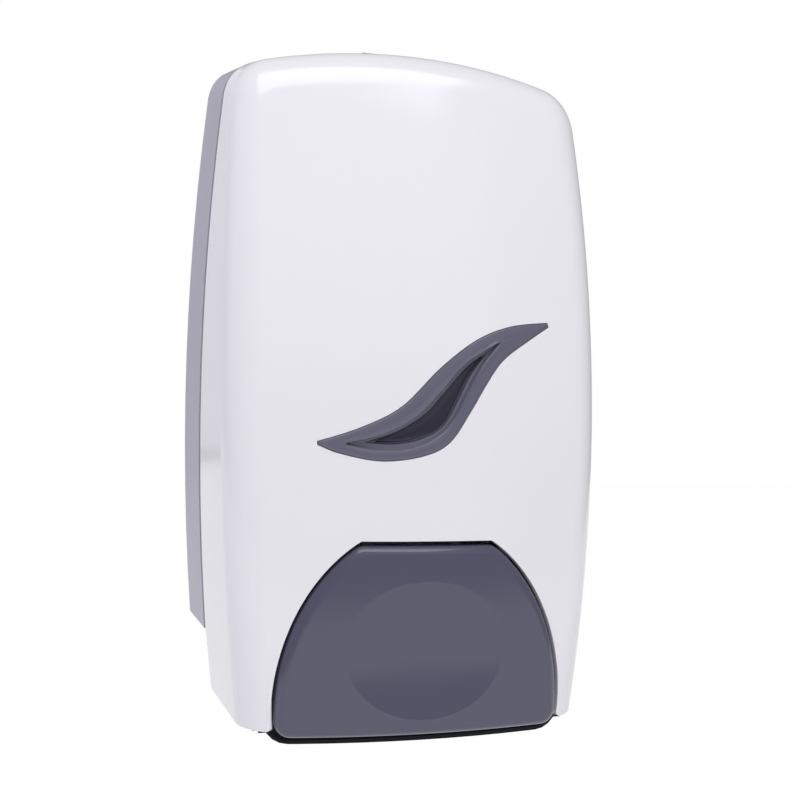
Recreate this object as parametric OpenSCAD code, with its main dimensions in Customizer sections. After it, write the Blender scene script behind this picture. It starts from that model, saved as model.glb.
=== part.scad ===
// Wall mounted soap dispenser with a push bar, a hinged front cover and a refill bottle.
// X runs to the right, Y runs into the wall and Z runs up. The origin is the centre of the
// four wall screw holes, on the wall face, so every piece lies at Y below 0.
// "depth" below means the distance from the wall, so Y = -depth.

/* [Cover outline] */
// Width of the cover at its widest line
cover_width = 130; // [124:1:140]
// Height of the widest line above the wall screws' centre
widest_z = 9.4; // [4:0.2:16]
// Radius of the long bowed sides
side_radius = 975; // [800:5:1400]
// Height of the arched top at the front, above the wall screws' centre
arch_top = 108.8; // [104:0.2:116]
// Radius of the arched top
arch_radius = 220; // [180:5:300]
// Distance of the cover's bottom edge below the wall screws' centre
cover_drop = 112; // [108:0.5:116]
// Corner radius of the outline at the front
corner_front = 13.7; // [11.5:0.1:16]
// Corner radius of the outline at the wall
corner_rear = 6.6; // [5:0.1:10]

/* [Cover profile] */
// Deepest distance of the face from the wall
face_depth = 85; // [82:0.5:90]
// Distance below the wall screws' centre at which the face stands out most
deepest_drop = 102; // [90:1:110]
// Radius of the face seen from the side
face_radius_side = 628; // [560:2:800]
// Radius of the face seen from above
face_radius_plan = 274; // [240:2:400]
// Radius of the rolled edge round the face
edge_roll = 9.8; // [8:0.1:11]
// Widening of each side towards the wall, per millimetre of depth
side_draft = 0.063; // [0.04:0.001:0.08]
// Rise of the top towards the wall, per millimetre of depth
top_draft = 0.106; // [0.08:0.001:0.13]
// Wall thickness of the cover
cover_wall = 2.5; // [2:0.1:2.8]
// Radius of the lower rear corners of the cover's legs
leg_corner = 4.5; // [2:0.1:5.5]

/* [Back plate] */
// Distance of the parting line between cover and back plate from the wall
parting_depth = 29.1; // [27:0.1:31]
// Height of the back plate's bottom above the cover's bottom edge
plate_rise = 19.8; // [19:0.1:22]
// Thickness of the back plate against the wall
plate_base = 2.5; // [2:0.1:3.5]
// Wall thickness of the back plate's rim
plate_wall = 2.2; // [1.8:0.1:2.6]
// Depth of the shadow step along the rim's front edge
step_depth = 2.4; // [1.5:0.1:4]
// Width by which the rim is set in at the shadow step
step_inset = 0.8; // [0.4:0.1:1.1]

/* [Wall screws] */
// Hole spacing across
screw_spacing_x = 60; // [50:1:64]
// Hole spacing up and down
screw_spacing_z = 150; // [146:1:156]
// Radius of a wall screw hole
wall_hole_r = 2.6; // [2:0.1:3.2]

/* [Push bar] */
// Width of the cover beside its arched opening, at the widest line
leg_width = 16.3; // [15.5:0.1:18]
// Half the height of the ellipse that the arch follows
well_rise = 58.4; // [57:0.1:60]
// Height of the ellipse's centre above the cover's bottom edge
well_centre = 6.6; // [6:0.1:7.4]
// Height that the arch's flat top cuts off the ellipse
well_cut = 6; // [5.4:0.1:7]
// Distance of the well's lowest line below the cover's bottom edge
well_lip = 3.9; // [3.5:0.1:5]
// Radius of the well's lower corners
well_corner = 6.4; // [5:0.2:8]
// Gap between the push bar and the opening's edge
bar_gap = 0.9; // [0.8:0.1:1.4]
// Extra gap under the push bar, for its foot to swing past the lip.
foot_room = 0.9; // [0.8:0.1:1.6]
// Distance by which the push bar's foot stands out from the cover's face.
bar_stand = 2; // [1:0.1:2.2]
// Wall thickness of the push bar
bar_wall = 3; // [2.4:0.1:3.2]
// Radius of the rolled edge of the push bar
bar_roll = 2.4; // [1.8:0.1:3.4]
// Depth of the push bar's side walls
bar_skirt = 12; // [9:0.5:13]
// Half the width of the dished oval
dish_half_width = 26.7; // [20:0.1:30]
// Half the height of the dished oval
dish_half_height = 21.7; // [16:0.1:23]
// Height of the oval's lowest point above the push bar's rolled edge
dish_rim = 3; // [2:0.1:4]
// Depth of the dished oval
dish_depth = 2.2; // [1:0.1:2.6]
// Height of the push bar's pivot above the arch's flat top
pivot_rise = 7; // [6.6:0.1:7.6]
// Gap between the pivot eyes and the inside of the cover
pivot_clear = 0.5; // [0.3:0.1:1]
// Radius of the pivot pins
pivot_pin_r = 2; // [1.6:0.1:2.3]
// Radius of the eyes round the pivot pins
pivot_eye_r = 4.5; // [4:0.1:4.8]

/* [Window] */
// Half the height by which the bezel stands over the cover's face
bezel_proud = 0.25; // [0:0.05:0.6]
// Depth of the recess round the lens
recess_depth = 2.2; // [1:0.1:2.6]
// Thickness of the rims that hold the bezel and the lens from behind
rim_thickness = 1.2; // [0.8:0.1:1.6]
// Width of the rims that hold the bezel and the lens from behind
rim_width = 1.4; // [1:0.1:2]

/* [Cover hinge] */
// Height of the cover hinge above the cover's bottom edge
hinge_rise = 10; // [9:0.1:10.6]
// Radius of the hinge pins
hinge_pin_r = 2; // [1.5:0.1:2.4]
// Radius of the eyes round the hinge pins
hinge_eye_r = 6; // [5:0.1:6.4]
// Distance of the hinge arms' inner faces from the cover's widest line
hinge_arm_inset = 15; // [14.4:0.1:17]
// Thickness of a hinge arm
hinge_arm = 4; // [3:0.1:4.4]

/* [Refill and pump] */
// Width of the refill bottle
bottle_width = 96; // [80:1:98]
// Gap between the bottle and the inside of the cover
bottle_gap = 3; // [1:0.5:8]
// Gap between the bottle's top and the latch shelf over it
bottle_head = 0.5; // [0.3:0.1:8]
// Distance of the bottle's shoulder below the wall screws' centre
bottle_drop = 22; // [21:0.1:23]
// Wall thickness of the bottle
bottle_wall = 1.2; // [0.8:0.1:2]
// Distance of the pump's centre line from the wall
pump_depth = 42; // [41:0.1:42.6]
// Outer radius of the bottle's neck
neck_r = 14; // [13:0.1:15]
// Radius of the pump barrel
barrel_r = 11; // [10.4:0.1:11.4]
// Radius of the pump bore
bore_r = 8; // [7:0.1:8.6]
// Radius of the pump's stem
stem_r = 4.5; // [3.8:0.1:5]
// Radius of the stem's collar
collar_r = 13; // [12.6:0.1:14]
// Distance of the bracket's shelf below the wall screws' centre
shelf_drop = 40; // [39.8:0.1:40.4]
// Thickness of the bracket
bracket_wall = 3; // [2.5:0.1:3.4]

/* [Latch] */
// Width of the latch button
latch_width = 22; // [16:1:26]
// Depth of the latch button, front to back
latch_depth = 8; // [7:0.1:8.6]
// Height by which the button stands over the top
latch_proud = 3; // [2:0.1:3.6]

/* [Fits] */
// Gap between pieces that move past one another
move_gap = 0.3; // [0.25:0.05:0.4]
// Gap at a seat between two fixed pieces
seat_gap = 0.2; // [0.1:0.05:0.3]
// Radial clearance of a running fit
run_fit = 0.06; // [0.03:0.01:0.1]
// Radial clearance of a pressed or threaded fit
press_fit = 0.02; // [0.01:0.01:0.03]

/* [Hidden] */
$fn = 48;

// Steps along one half of the outline: side, corner and arch.
side_steps = 12;
corner_steps = 6;
arch_steps = 8;
roll_steps = 5;
face_steps = 9;

cover_low = -cover_drop;
plate_low = cover_low + plate_rise;
well_half_width = cover_width / 2 - leg_width;
well_z = cover_low + well_centre;
well_top = well_z + well_rise - well_cut;
well_foot = cover_low - well_lip;
pivot_z = well_top + pivot_rise;
hinge_z = cover_low + hinge_rise;
shelf_z = -shelf_drop;
bottle_z = -bottle_drop;
dish_z = well_foot + bar_gap + foot_room + bar_roll + dish_rim + dish_half_height;
hinge_arm_x = cover_width / 2 - hinge_arm_inset;

// Depth at which the outline has its nominal size, between the wall and the face.
draft_depth = face_depth - 12;
// Depth from which the corner keeps its front radius.
corner_depth = face_depth - 25;
cover_rear = parting_depth + move_gap;
hinge_depth = cover_rear + hinge_eye_r + 0.6;

// ---------- Outline and face ----------

side_centre = [cover_width / 2 - side_radius, widest_z];
arch_centre = [0, arch_top - arch_radius];

// The meeting point, to the right, of two circles.
function circles_meet(c1, r1, c2, r2) =
    let (between = norm(c2 - c1),
         along = (r1 * r1 - r2 * r2 + between * between) / (2 * between),
         across = sqrt(max(0, r1 * r1 - along * along)),
         dir = (c2 - c1) / between,
         a = c1 + dir * along + across * [-dir.y, dir.x],
         b = c1 + dir * along - across * [-dir.y, dir.x])
    a.x > b.x ? a : b;

function corner_at(depth) =
    corner_rear + (corner_front - corner_rear) * min(1, depth / corner_depth);

function polar(angle) = [cos(angle), sin(angle)];

// One point of the outline: its place, its outward normal, and how far its height is held
// when the outline is set in, so that the bottom edge stays level.
function arc_points(centre, radius, from, to, steps, first, hold) =
    [for (i = [first:steps])
        let (n = polar(from + (to - from) * i / steps))
        [centre + radius * n, n, hold * (1 - i / steps)]];

// Right half of the outline, from the bottom edge to the middle of the top.
function half_outline(corner, low) =
    let (c = circles_meet(side_centre, side_radius - corner, arch_centre, arch_radius - corner),
         low_angle = asin((low - widest_z) / side_radius),
         side_end = atan2(c.y - side_centre.y, c.x - side_centre.x),
         arch_end = atan2(c.y - arch_centre.y, c.x - arch_centre.x))
    concat(arc_points(side_centre, side_radius, low_angle, side_end, side_steps, 0, 1),
           arc_points(c, corner, side_end, arch_end, corner_steps, 1, 0),
           arc_points(arch_centre, arch_radius, arch_end, 90, arch_steps, 1, 0));

function mirrored(e) = [[-e[0].x, e[0].y], [-e[1].x, e[1].y], e[2]];

function outline(corner, low) =
    let (half = half_outline(corner, low), n = len(half))
    concat(half, [for (i = [n - 2:-1:0]) mirrored(half[i])]);

// Distance of the cover's face from the wall.
function face_at(x, z) =
    face_depth - pow(z + deepest_drop, 2) / (2 * face_radius_side)
    - x * x / (2 * face_radius_plan);

// Growth of the outline towards the wall.
function growth(n, depth) =
    (side_draft * n.x * n.x + top_draft * n.y * n.y) * (draft_depth - depth);

function set_in(e, amount) =
    let (p = e[0] - e[1] * amount)
    [p.x, p.y + e[2] * (e[0].y - p.y)];

// A point of the drafted side at a given depth.
function side_point(e, inset, depth) =
    let (p = set_in(e, inset - growth(e[1], depth)))
    [p.x, -depth, p.y];

// A point of the rolled edge: angle 0 is where the side ends and 90 where the face starts.
function roll_point(e, inset, angle) =
    let (r = edge_roll - inset,
         amount = inset + r * (1 - cos(angle)),
         q = set_in(e, amount),
         depth = face_at(q.x, q.y) - inset - r * (1 - sin(angle)),
         p = set_in(e, amount - growth(e[1], depth) * cos(angle)))
    [p.x, -depth, p.y];

function face_point(p, low, inset, share) =
    let (x = p.x * share, z = low + (p.z - low) * share)
    [x, inset - face_at(x, z), z];

// The rings of points of one skin of the cover, from its rear edge to the face's fan.
function skin_rings(low, inset, rear) =
    let (front = outline(corner_front, low),
         last = [for (e = front) roll_point(e, inset, 90)])
    concat([[for (e = outline(corner_at(rear), low)) side_point(e, inset, rear)]],
           [for (i = [0:roll_steps])
               [for (e = front) roll_point(e, inset, 90 * i / roll_steps)]],
           [for (i = [1:face_steps])
               [for (p = last) face_point(p, low, inset, 1 - i / (face_steps + 1))]]);

function flat(lists) = [for (l = lists) for (v = l) v];

function quad(a, b, c, d) = [[a, b, c], [a, c, d]];

// A shell between an outer and an inner skin, which share a level bottom edge.
module shell(low, wall, rear) {
    outer = skin_rings(low, 0, rear);
    inner = skin_rings(low, wall, rear);
    rings = len(outer);
    count = len(outer[0]);
    apex = rings * count;
    base = apex + 1;
    points = concat(flat(outer), [face_point([0, 0, low], low, 0, 0)],
                    flat(inner), [face_point([0, 0, low], low, wall, 0)]);
    skin = flat([for (v = [0:rings - 2]) for (u = [0:count - 2])
        quad(v * count + u, (v + 1) * count + u, (v + 1) * count + u + 1, v * count + u + 1)]);
    fan = [for (u = [0:count - 2]) [(rings - 1) * count + u, apex, (rings - 1) * count + u + 1]];
    outer_faces = concat(skin, fan);
    inner_faces = [for (f = outer_faces) [f[2] + base, f[1] + base, f[0] + base]];
    rear_faces = flat([for (u = [0:count - 2]) quad(u, u + 1, base + u + 1, base + u)]);
    right = concat([for (v = [0:rings - 1]) v * count], [apex]);
    left = concat([for (v = [0:rings - 1]) v * count + count - 1], [apex]);
    foot_faces = flat([for (v = [0:rings - 1]) concat(
        quad(right[v], base + right[v], base + right[v + 1], right[v + 1]),
        quad(left[v], left[v + 1], base + left[v + 1], base + left[v]))]);
    polyhedron(points, concat(outer_faces, inner_faces, rear_faces, foot_faces));
}

// A cup between closed rings of points, each skin ending in one point.
module cup(outer, outer_apex, inner, inner_apex) {
    rings = len(outer);
    count = len(outer[0]);
    apex = rings * count;
    base = apex + 1;
    outer_faces = concat(
        flat([for (v = [0:rings - 2]) for (u = [0:count - 1])
            let (w = (u + 1) % count)
            quad(v * count + u, (v + 1) * count + u, (v + 1) * count + w, v * count + w)]),
        [for (u = [0:count - 1])
            [(rings - 1) * count + u, apex, (rings - 1) * count + (u + 1) % count]]);
    inner_faces = [for (f = outer_faces) [f[2] + base, f[1] + base, f[0] + base]];
    rim_faces = flat([for (u = [0:count - 1])
        let (w = (u + 1) % count)
        quad(u, w, base + w, base + u)]);
    polyhedron(concat(flat(outer), [outer_apex], flat(inner), [inner_apex]),
               concat(outer_faces, inner_faces, rim_faces));
}

// A closed block with the drafted outline, between two depths.
module outline_block(low, inset, depth_a, depth_b) {
    rear = [for (e = outline(corner_at(depth_a), low)) side_point(e, inset, depth_a)];
    front = [for (e = outline(corner_at(depth_b), low)) side_point(e, inset, depth_b)];
    n = len(rear);
    polyhedron(concat(rear, front), concat(
        [[for (i = [0:n - 1]) i]],
        [[for (i = [n - 1:-1:0]) n + i]],
        flat([for (i = [0:n - 1])
            let (j = (i + 1) % n)
            quad(i, n + i, n + j, j)])));
}

// A curved plate between two depth functions over a rectangle of the XZ plane.
module curved_plate(low, high, steps, front, back) {
    nx = steps.x;
    nz = steps.y;
    count = (nx + 1) * (nz + 1);
    function at(i, j) = [low.x + (high.x - low.x) * i / nx, low.y + (high.y - low.y) * j / nz];
    function sheet(depth) = [for (j = [0:nz]) for (i = [0:nx])
        let (p = at(i, j)) [p.x, -depth(p.x, p.y), p.y]];
    function id(i, j) = j * (nx + 1) + i;
    edge = concat([for (i = [0:nx - 1]) id(i, 0)], [for (j = [0:nz - 1]) id(nx, j)],
                  [for (i = [nx:-1:1]) id(i, nz)], [for (j = [nz:-1:1]) id(0, j)]);
    n = len(edge);
    polyhedron(concat(sheet(front), sheet(back)), concat(
        flat([for (j = [0:nz - 1]) for (i = [0:nx - 1])
            quad(id(i, j), id(i, j + 1), id(i + 1, j + 1), id(i + 1, j))]),
        flat([for (j = [0:nz - 1]) for (i = [0:nx - 1])
            quad(count + id(i, j), count + id(i + 1, j),
                 count + id(i + 1, j + 1), count + id(i, j + 1))]),
        flat([for (k = [0:n - 1])
            let (a = edge[k], b = edge[(k + 1) % n])
            quad(a, b, count + b, count + a)])));
}

// ---------- Flat outlines in the XZ plane ----------

// A prism along Y whose outline is drawn with X to the right and Z up.
module prism(path, depth_a, depth_b) {
    translate([0, -depth_a, 0])
        rotate([90, 0, 0])
            linear_extrude(depth_b - depth_a)
                polygon(path);
}

// A prism along X whose outline is drawn in Y and Z.
module cross_prism(path, x_a, x_b) {
    translate([x_a, 0, 0])
        rotate([90, 0, 90])
            linear_extrude(x_b - x_a)
                polygon(path);
}

module x_rod(r, x_a, x_b) {
    translate([x_a, 0, 0])
        rotate([0, 90, 0])
            cylinder(r = r, h = x_b - x_a);
}

// A rod along Y between two depths.
module y_rod(r, depth_a, depth_b) {
    translate([0, -depth_a, 0])
        rotate([90, 0, 0])
            cylinder(r = r, h = depth_b - depth_a);
}

module both_sides() {
    children();
    mirror([1, 0, 0])
        children();
}

// Outline of the push bar's well: an elliptic arch with a flat top and round lower corners.
function well_path(grow, lift = 0) =
    let (a = well_half_width + grow,
         b = well_rise + grow,
         foot = well_foot - grow + lift,
         top = well_top + grow,
         corner = well_corner + grow,
         top_angle = asin((top - well_z) / b),
         top_end = a * cos(top_angle),
         right = concat(
             [for (i = [0:4]) [(a - corner) * i / 5, foot]],
             [for (t = [-90:18:0]) [a - corner, foot + corner] + corner * polar(t)],
             [for (i = [0:14])
                 let (t = top_angle * i / 14)
                 [a * cos(t), well_z + b * sin(t)]],
             [for (i = [1:3]) [top_end * (1 - i / 3), top]]))
    concat(right, [for (i = [len(right) - 2:-1:1]) [-right[i].x, right[i].y]]);

// Smooth curve through a short list of points.
function spline_point(p0, p1, p2, p3, t) =
    0.5 * (2 * p1 + (p2 - p0) * t + (2 * p0 - 5 * p1 + 4 * p2 - p3) * t * t
           + (3 * p1 - p0 - 3 * p2 + p3) * t * t * t);

function spline(pts, steps) =
    let (n = len(pts))
    [for (i = [0:n - 2]) for (k = [0:steps - 1])
        spline_point(pts[max(0, i - 1)], pts[i], pts[i + 1], pts[min(n - 1, i + 2)], k / steps)];

// Two edges that meet at sharp tips, as one closed path.
function leaf(lower, upper, steps) = concat(spline(lower, steps), spline(upper, steps));

// A closed path moved outwards by an equal amount everywhere, with short mitres at the tips.
function grown(path, amount) =
    let (n = len(path))
    [for (i = [0:n - 1])
        let (a = path[(i + n - 1) % n], b = path[i], c = path[(i + 1) % n],
             u = (b - a) / norm(b - a), v = (c - b) / norm(c - b),
             m = [u.y + v.y, -u.x - v.x],
             size = max(norm(m), 0.6))
        b + m / norm(m) * amount * min(2 / size, 1.6)];

swoosh_tip_left = [-36.8, -21.9];
swoosh_tip_right = [44.8, 19.3];
swoosh_path = leaf(
    [swoosh_tip_left, [-28.9, -25], [-16, -27], [-2.7, -25.5], [7.6, -20.5], [14.6, -10.8],
     [20.2, -1.3], [26.8, 7.3], [37.6, 14.6], swoosh_tip_right],
    [swoosh_tip_right, [33.9, 18.7], [18.7, 13], [4.3, 2.7], [-9.4, -9.7], [-22.5, -16.8],
     swoosh_tip_left], 4);
recess_path = leaf(
    [[-26.7, -21.6], [-17.5, -23.6], [-6.7, -22.5], [3.9, -17.9], [10.5, -9.2], [15.6, 1.1],
     [24.9, 11.9]],
    [[24.9, 11.9], [11.3, 3.2], [2.1, -7.2], [-9, -14.1], [-26.7, -21.6]], 4);
lens_path = leaf(
    [[-18.6, -21.1], [-9, -20.9], [1.5, -16.6], [7.5, -8.1], [14, 3.6]],
    [[14, 3.6], [6.9, -3.1], [-2, -11.4], [-18.6, -21.1]], 4);

// A plate cut to a path between two offsets from the cover's face, outwards positive.
module face_piece(path, low, high, steps, outside, inside) {
    intersection() {
        prism(path, 0, face_depth + 10);
        curved_plate(low, high, steps, function(x, z) face_at(x, z) + outside,
                     function(x, z) face_at(x, z) + inside);
    }
}

// ---------- Back plate ----------

bracket_boss = 5;
bracket_x = 30;
bracket_zs = [shelf_z - 3, shelf_z - 21];
boss_r = 4;
screw_r = 1.4;
head_r = 2.9;
head_h = 2;
screw_bite = 3.5;

latch_y = -10;
tongue_z = arch_top - 2.3;
latch_shelf_z = tongue_z - 18.5;
latch_shelf_thick = 2.5;
tongue_thick = 2.5;
tongue_half = 8;
tongue_rear = -latch_y + latch_depth / 2 + 1;
barb_rear = tongue_rear + 3;
barb_front = barb_rear + 5;
barb_gap = 0.4;
slider_thick = 3;
slider_half = 6;
barb_half = 4;
latch_travel = 3;

// Height of the back plate's top at the middle, at a given depth.
function top_at(depth) = arch_top + top_draft * (draft_depth - depth);

module hinge_arm() {
    reach = hinge_depth + hinge_eye_r - 1;
    difference() {
        union() {
            cross_prism([[-10, plate_low + 1], [-parting_depth + 1, plate_low + 1],
                         [-reach, hinge_z + 2.5], [-hinge_depth, hinge_z],
                         [-hinge_depth + 3, hinge_z - 5]],
                        hinge_arm_x, hinge_arm_x + hinge_arm);
            translate([0, -hinge_depth, hinge_z])
                x_rod(hinge_eye_r, hinge_arm_x, hinge_arm_x + hinge_arm);
        }
        translate([0, -hinge_depth, hinge_z])
            x_rod(hinge_pin_r + run_fit, hinge_arm_x - 1, hinge_arm_x + hinge_arm + 1);
    }
}

module latch_guides() {
    foot_y = latch_y - slider_thick / 2 - 3;
    translate([-tongue_half, foot_y, latch_shelf_z - latch_shelf_thick])
        cube([2 * tongue_half, -foot_y - 1, latch_shelf_thick]);
    translate([0, latch_y, latch_shelf_z])
        cylinder(r = 1.6, h = 2);
    both_sides()
        translate([slider_half + move_gap, latch_y - slider_thick, latch_shelf_z])
            cube([2, -latch_y + slider_thick - 1, tongue_z - latch_shelf_z - 4]);
}

module back_plate() {
    color("silver")
        difference() {
            union() {
                difference() {
                    union() {
                        outline_block(plate_low, 0, 0, parting_depth - step_depth);
                        outline_block(plate_low + step_inset, step_inset, parting_depth - step_depth,
                                      parting_depth);
                    }
                    outline_block(plate_low + plate_wall, plate_wall, plate_base, parting_depth + 1);
                }
                both_sides()
                    hinge_arm();
                for (side = [-1, 1], z = bracket_zs)
                    translate([side * bracket_x, 0, z])
                        y_rod(boss_r, plate_base - 0.5, plate_base + bracket_boss);
                latch_guides();
            }
            for (side = [-1, 1], end = [-1, 1])
                translate([side * screw_spacing_x / 2, 0, end * screw_spacing_z / 2])
                    y_rod(wall_hole_r, -1, plate_base + 1);
            for (side = [-1, 1], z = bracket_zs)
                translate([side * bracket_x, 0, z])
                    y_rod(screw_r + press_fit, plate_base, plate_base + bracket_boss + 1);
            translate([-latch_width / 2 - move_gap, latch_y - latch_depth / 2 - move_gap, tongue_z])
                cube([latch_width + 2 * move_gap, latch_depth + 2 * move_gap, 30]);
        }
}

// ---------- Pump bracket ----------

bracket_rear = plate_base + bracket_boss;
bracket_front = bracket_rear + bracket_wall;
bracket_half = bracket_x + 5;
bracket_top = bracket_zs[0] + 6;
bracket_foot = bracket_zs[1] - 5;
shelf_half = 24;
shelf_reach = pump_depth + 17;

module pump_bracket() {
    color("gainsboro")
        difference() {
            union() {
                translate([-bracket_half, -bracket_front, bracket_foot])
                    cube([2 * bracket_half, bracket_wall, bracket_top - bracket_foot]);
                translate([-shelf_half, -shelf_reach, shelf_z - bracket_wall])
                    cube([2 * shelf_half, shelf_reach - bracket_rear, bracket_wall]);
                both_sides()
                    cross_prism([[-bracket_front + 1, shelf_z - 1], [-pump_depth - 8, shelf_z - 1],
                                 [-pump_depth - 8, shelf_z - 5], [-bracket_front + 1, bracket_foot]],
                                shelf_half - bracket_wall, shelf_half);
            }
            translate([0, -pump_depth, shelf_z - 10])
                cylinder(r = barrel_r + 0.6, h = 20);
            translate([-barrel_r - 0.6, -shelf_reach - 1, shelf_z - 10])
                cube([2 * barrel_r + 1.2, shelf_reach + 1 - pump_depth, 20]);
            for (side = [-1, 1], z = bracket_zs)
                translate([side * bracket_x, 0, z])
                    y_rod(screw_r + 0.3, bracket_rear - 1, bracket_front + 1);
        }
}

// A pan head screw along Y, with its head towards the front.
module pan_screw(seat, bite) {
    difference() {
        union() {
            y_rod(screw_r, seat - bite, seat);
            y_rod(head_r, seat, seat + head_h);
        }
        for (turn = [0, 90])
            translate([0, -seat - head_h, 0])
                rotate([0, turn, 0])
                    cube([3.4, 2, 0.7], center = true);
    }
}

// The same screw with its head towards the wall.
module back_screw(seat, bite) {
    translate([0, -2 * seat, 0])
        mirror([0, 1, 0])
            pan_screw(seat, bite);
}

module bracket_screws() {
    color("lightgray")
        for (side = [-1, 1], z = bracket_zs)
            translate([side * bracket_x, 0, z])
                pan_screw(bracket_front, bracket_wall + screw_bite);
}

// ---------- Refill bottle and its closure ----------

neck_foot = shelf_z + 6;
cap_foot = shelf_z + seat_gap;
cap_wall = 2;
neck_wall = 2.5;
flange_z = cap_foot + cap_wall + seat_gap;
flange_h = 2;
bottle_rear = bracket_front - 0.5;
bottle_top = latch_shelf_z - latch_shelf_thick - bottle_head;
bottle_lean_from = bottle_z + 44;
bottle_front_low = face_at(bottle_width / 2, bottle_lean_from) - cover_wall - bottle_gap;
bottle_front_high = face_at(bottle_width / 2, bottle_top) - cover_wall - bottle_gap;

function rounded(path, r, steps) =
    let (n = len(path))
    flat([for (i = [0:n - 1])
        let (a = path[(i + n - 1) % n], b = path[i], c = path[(i + 1) % n],
             u = (a - b) / norm(a - b), v = (c - b) / norm(c - b),
             half = acos(u * v) / 2,
             cut = r / tan(half),
             centre = b + (u + v) / norm(u + v) * r / sin(half),
             from = b + u * cut - centre, to = b + v * cut - centre,
             from_angle = atan2(from.y, from.x),
             swing = atan2(from.x * to.y - from.y * to.x, from * to))
        [for (k = [0:steps]) centre + r * polar(from_angle + swing * k / steps)]]);

module bottle_block(inset) {
    half = bottle_width / 2 - inset;
    top = bottle_top - inset;
    low = bottle_z + inset;
    rear = bottle_rear + inset;
    intersection() {
        prism(rounded([[-half, low], [half, low], [half, top], [-half, top]], 14 - inset, 8), 0,
              face_depth);
        cross_prism(rounded([[-rear, low], [-rear, top], [inset - bottle_front_high, top],
                             [inset - bottle_front_low, bottle_lean_from],
                             [inset - bottle_front_low, low]], 10 - inset, 6),
                    -bottle_width, bottle_width);
    }
}

module refill_bottle() {
    color("lightcyan", 0.6)
        difference() {
            union() {
                bottle_block(0);
                translate([0, -pump_depth, neck_foot])
                    cylinder(r = neck_r, h = bottle_z - neck_foot + bottle_wall / 2);
                translate([0, -pump_depth, bottle_z - 3.4])
                    cylinder(r = neck_r + 2.4, h = 2);
            }
            bottle_block(bottle_wall);
            translate([0, -pump_depth, neck_foot - 1])
                cylinder(r = neck_r - neck_wall, h = bottle_z - neck_foot + 4);
        }
}

module retaining_cap() {
    height = bottle_z - 3.4 - seat_gap - cap_foot;
    ribs = 24;
    outer = neck_r + 3;
    color("white")
        translate([0, -pump_depth, cap_foot])
            difference() {
                union() {
                    cylinder(r = outer, h = height);
                    for (i = [0:ribs - 1])
                        rotate([0, 0, i * 360 / ribs])
                            translate([outer, 0, 2])
                                cylinder(r = 0.6, h = height - 3, $fn = 16);
                }
                translate([0, 0, cap_wall])
                    cylinder(r = neck_r + run_fit, h = height);
                translate([0, 0, -1])
                    cylinder(r = barrel_r + 0.4, h = cap_wall + 2);
            }
}

module neck_gasket() {
    low = flange_z + flange_h + seat_gap;
    color("dimgray")
        translate([0, -pump_depth, low])
            difference() {
                cylinder(r = neck_r - 0.3, h = neck_foot - seat_gap - low);
                translate([0, 0, -1])
                    cylinder(r = neck_r - neck_wall, h = 5);
            }
}

// ---------- Pump ----------

barrel_foot = shelf_z - 20;
barrel_roof = shelf_z - 2.5;
roof_thick = 2;
plug_flange = 2;
plug_foot = barrel_foot - plug_flange;
plug_top = barrel_foot + 2.8;
piston_foot = plug_top + move_gap;
piston_h = 5.3;
piston_r = bore_r - run_fit;
ring_r = 0.66;
groove_r = piston_r - 1.3;
spigot_r = 3;
stem_bore = 1.8;
collar_h = 2.5;
collar_z = barrel_foot - 20.5;
outlet_z = collar_z - 24;
outlet_r = stem_r - 0.9;

module pump_barrel() {
    color("white")
        translate([0, -pump_depth, 0])
            difference() {
                union() {
                    translate([0, 0, barrel_foot])
                        cylinder(r = barrel_r, h = flange_z - barrel_foot + flange_h / 2);
                    translate([0, 0, flange_z])
                        cylinder(r = neck_r - 0.3, h = flange_h);
                }
                translate([0, 0, barrel_foot - 1])
                    cylinder(r = bore_r, h = barrel_roof - barrel_foot + 1);
                translate([0, 0, barrel_roof + roof_thick])
                    cylinder(r = bore_r + 0.6, h = 20);
                translate([0, 0, barrel_roof - 1])
                    cylinder(r = 1.3, h = roof_thick + 2);
                for (i = [0:3])
                    rotate([0, 0, 90 * i])
                        translate([3.2, 0, barrel_roof - 1])
                            cylinder(r = 0.9, h = roof_thick + 2);
            }
}

module barrel_plug() {
    color("gainsboro")
        translate([0, -pump_depth, 0])
            difference() {
                union() {
                    translate([0, 0, plug_foot])
                        cylinder(r = barrel_r, h = plug_flange);
                    translate([0, 0, plug_foot + 1])
                        cylinder(r = bore_r - press_fit, h = plug_top - plug_foot - 1);
                }
                translate([0, 0, plug_foot - 1])
                    cylinder(r = stem_r + run_fit, h = 10);
            }
}

module inlet_valve() {
    disc = 0.8;
    color("tomato")
        translate([0, -pump_depth, barrel_roof]) {
            translate([0, 0, -disc])
                cylinder(r = 5, h = disc);
            cylinder(r = 1.2, h = roof_thick + 0.5);
            translate([0, 0, roof_thick + 0.1])
                cylinder(r = 2, h = 1);
        }
}

module pump_stem() {
    color("white")
        translate([0, -pump_depth, 0])
            difference() {
                union() {
                    translate([0, 0, outlet_z])
                        cylinder(r = outlet_r, h = piston_foot - outlet_z);
                    translate([0, 0, collar_z - 9])
                        cylinder(r = stem_r, h = piston_foot - collar_z + 9);
                    translate([0, 0, piston_foot - 1])
                        cylinder(r = spigot_r, h = piston_h + 0.7);
                    translate([0, 0, collar_z])
                        cylinder(r = collar_r, h = collar_h);
                }
                translate([0, 0, outlet_z - 1])
                    cylinder(r = stem_bore, h = 80);
            }
}

module piston() {
    color("ivory")
        translate([0, -pump_depth, piston_foot])
            difference() {
                cylinder(r = piston_r, h = piston_h);
                translate([0, 0, -1])
                    cylinder(r = spigot_r + press_fit, h = piston_h + 2);
                translate([0, 0, piston_h / 2 - 0.9])
                    difference() {
                        cylinder(r = bore_r + 1, h = 1.8);
                        translate([0, 0, -1])
                            cylinder(r = groove_r, h = 4);
                    }
            }
}

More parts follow.
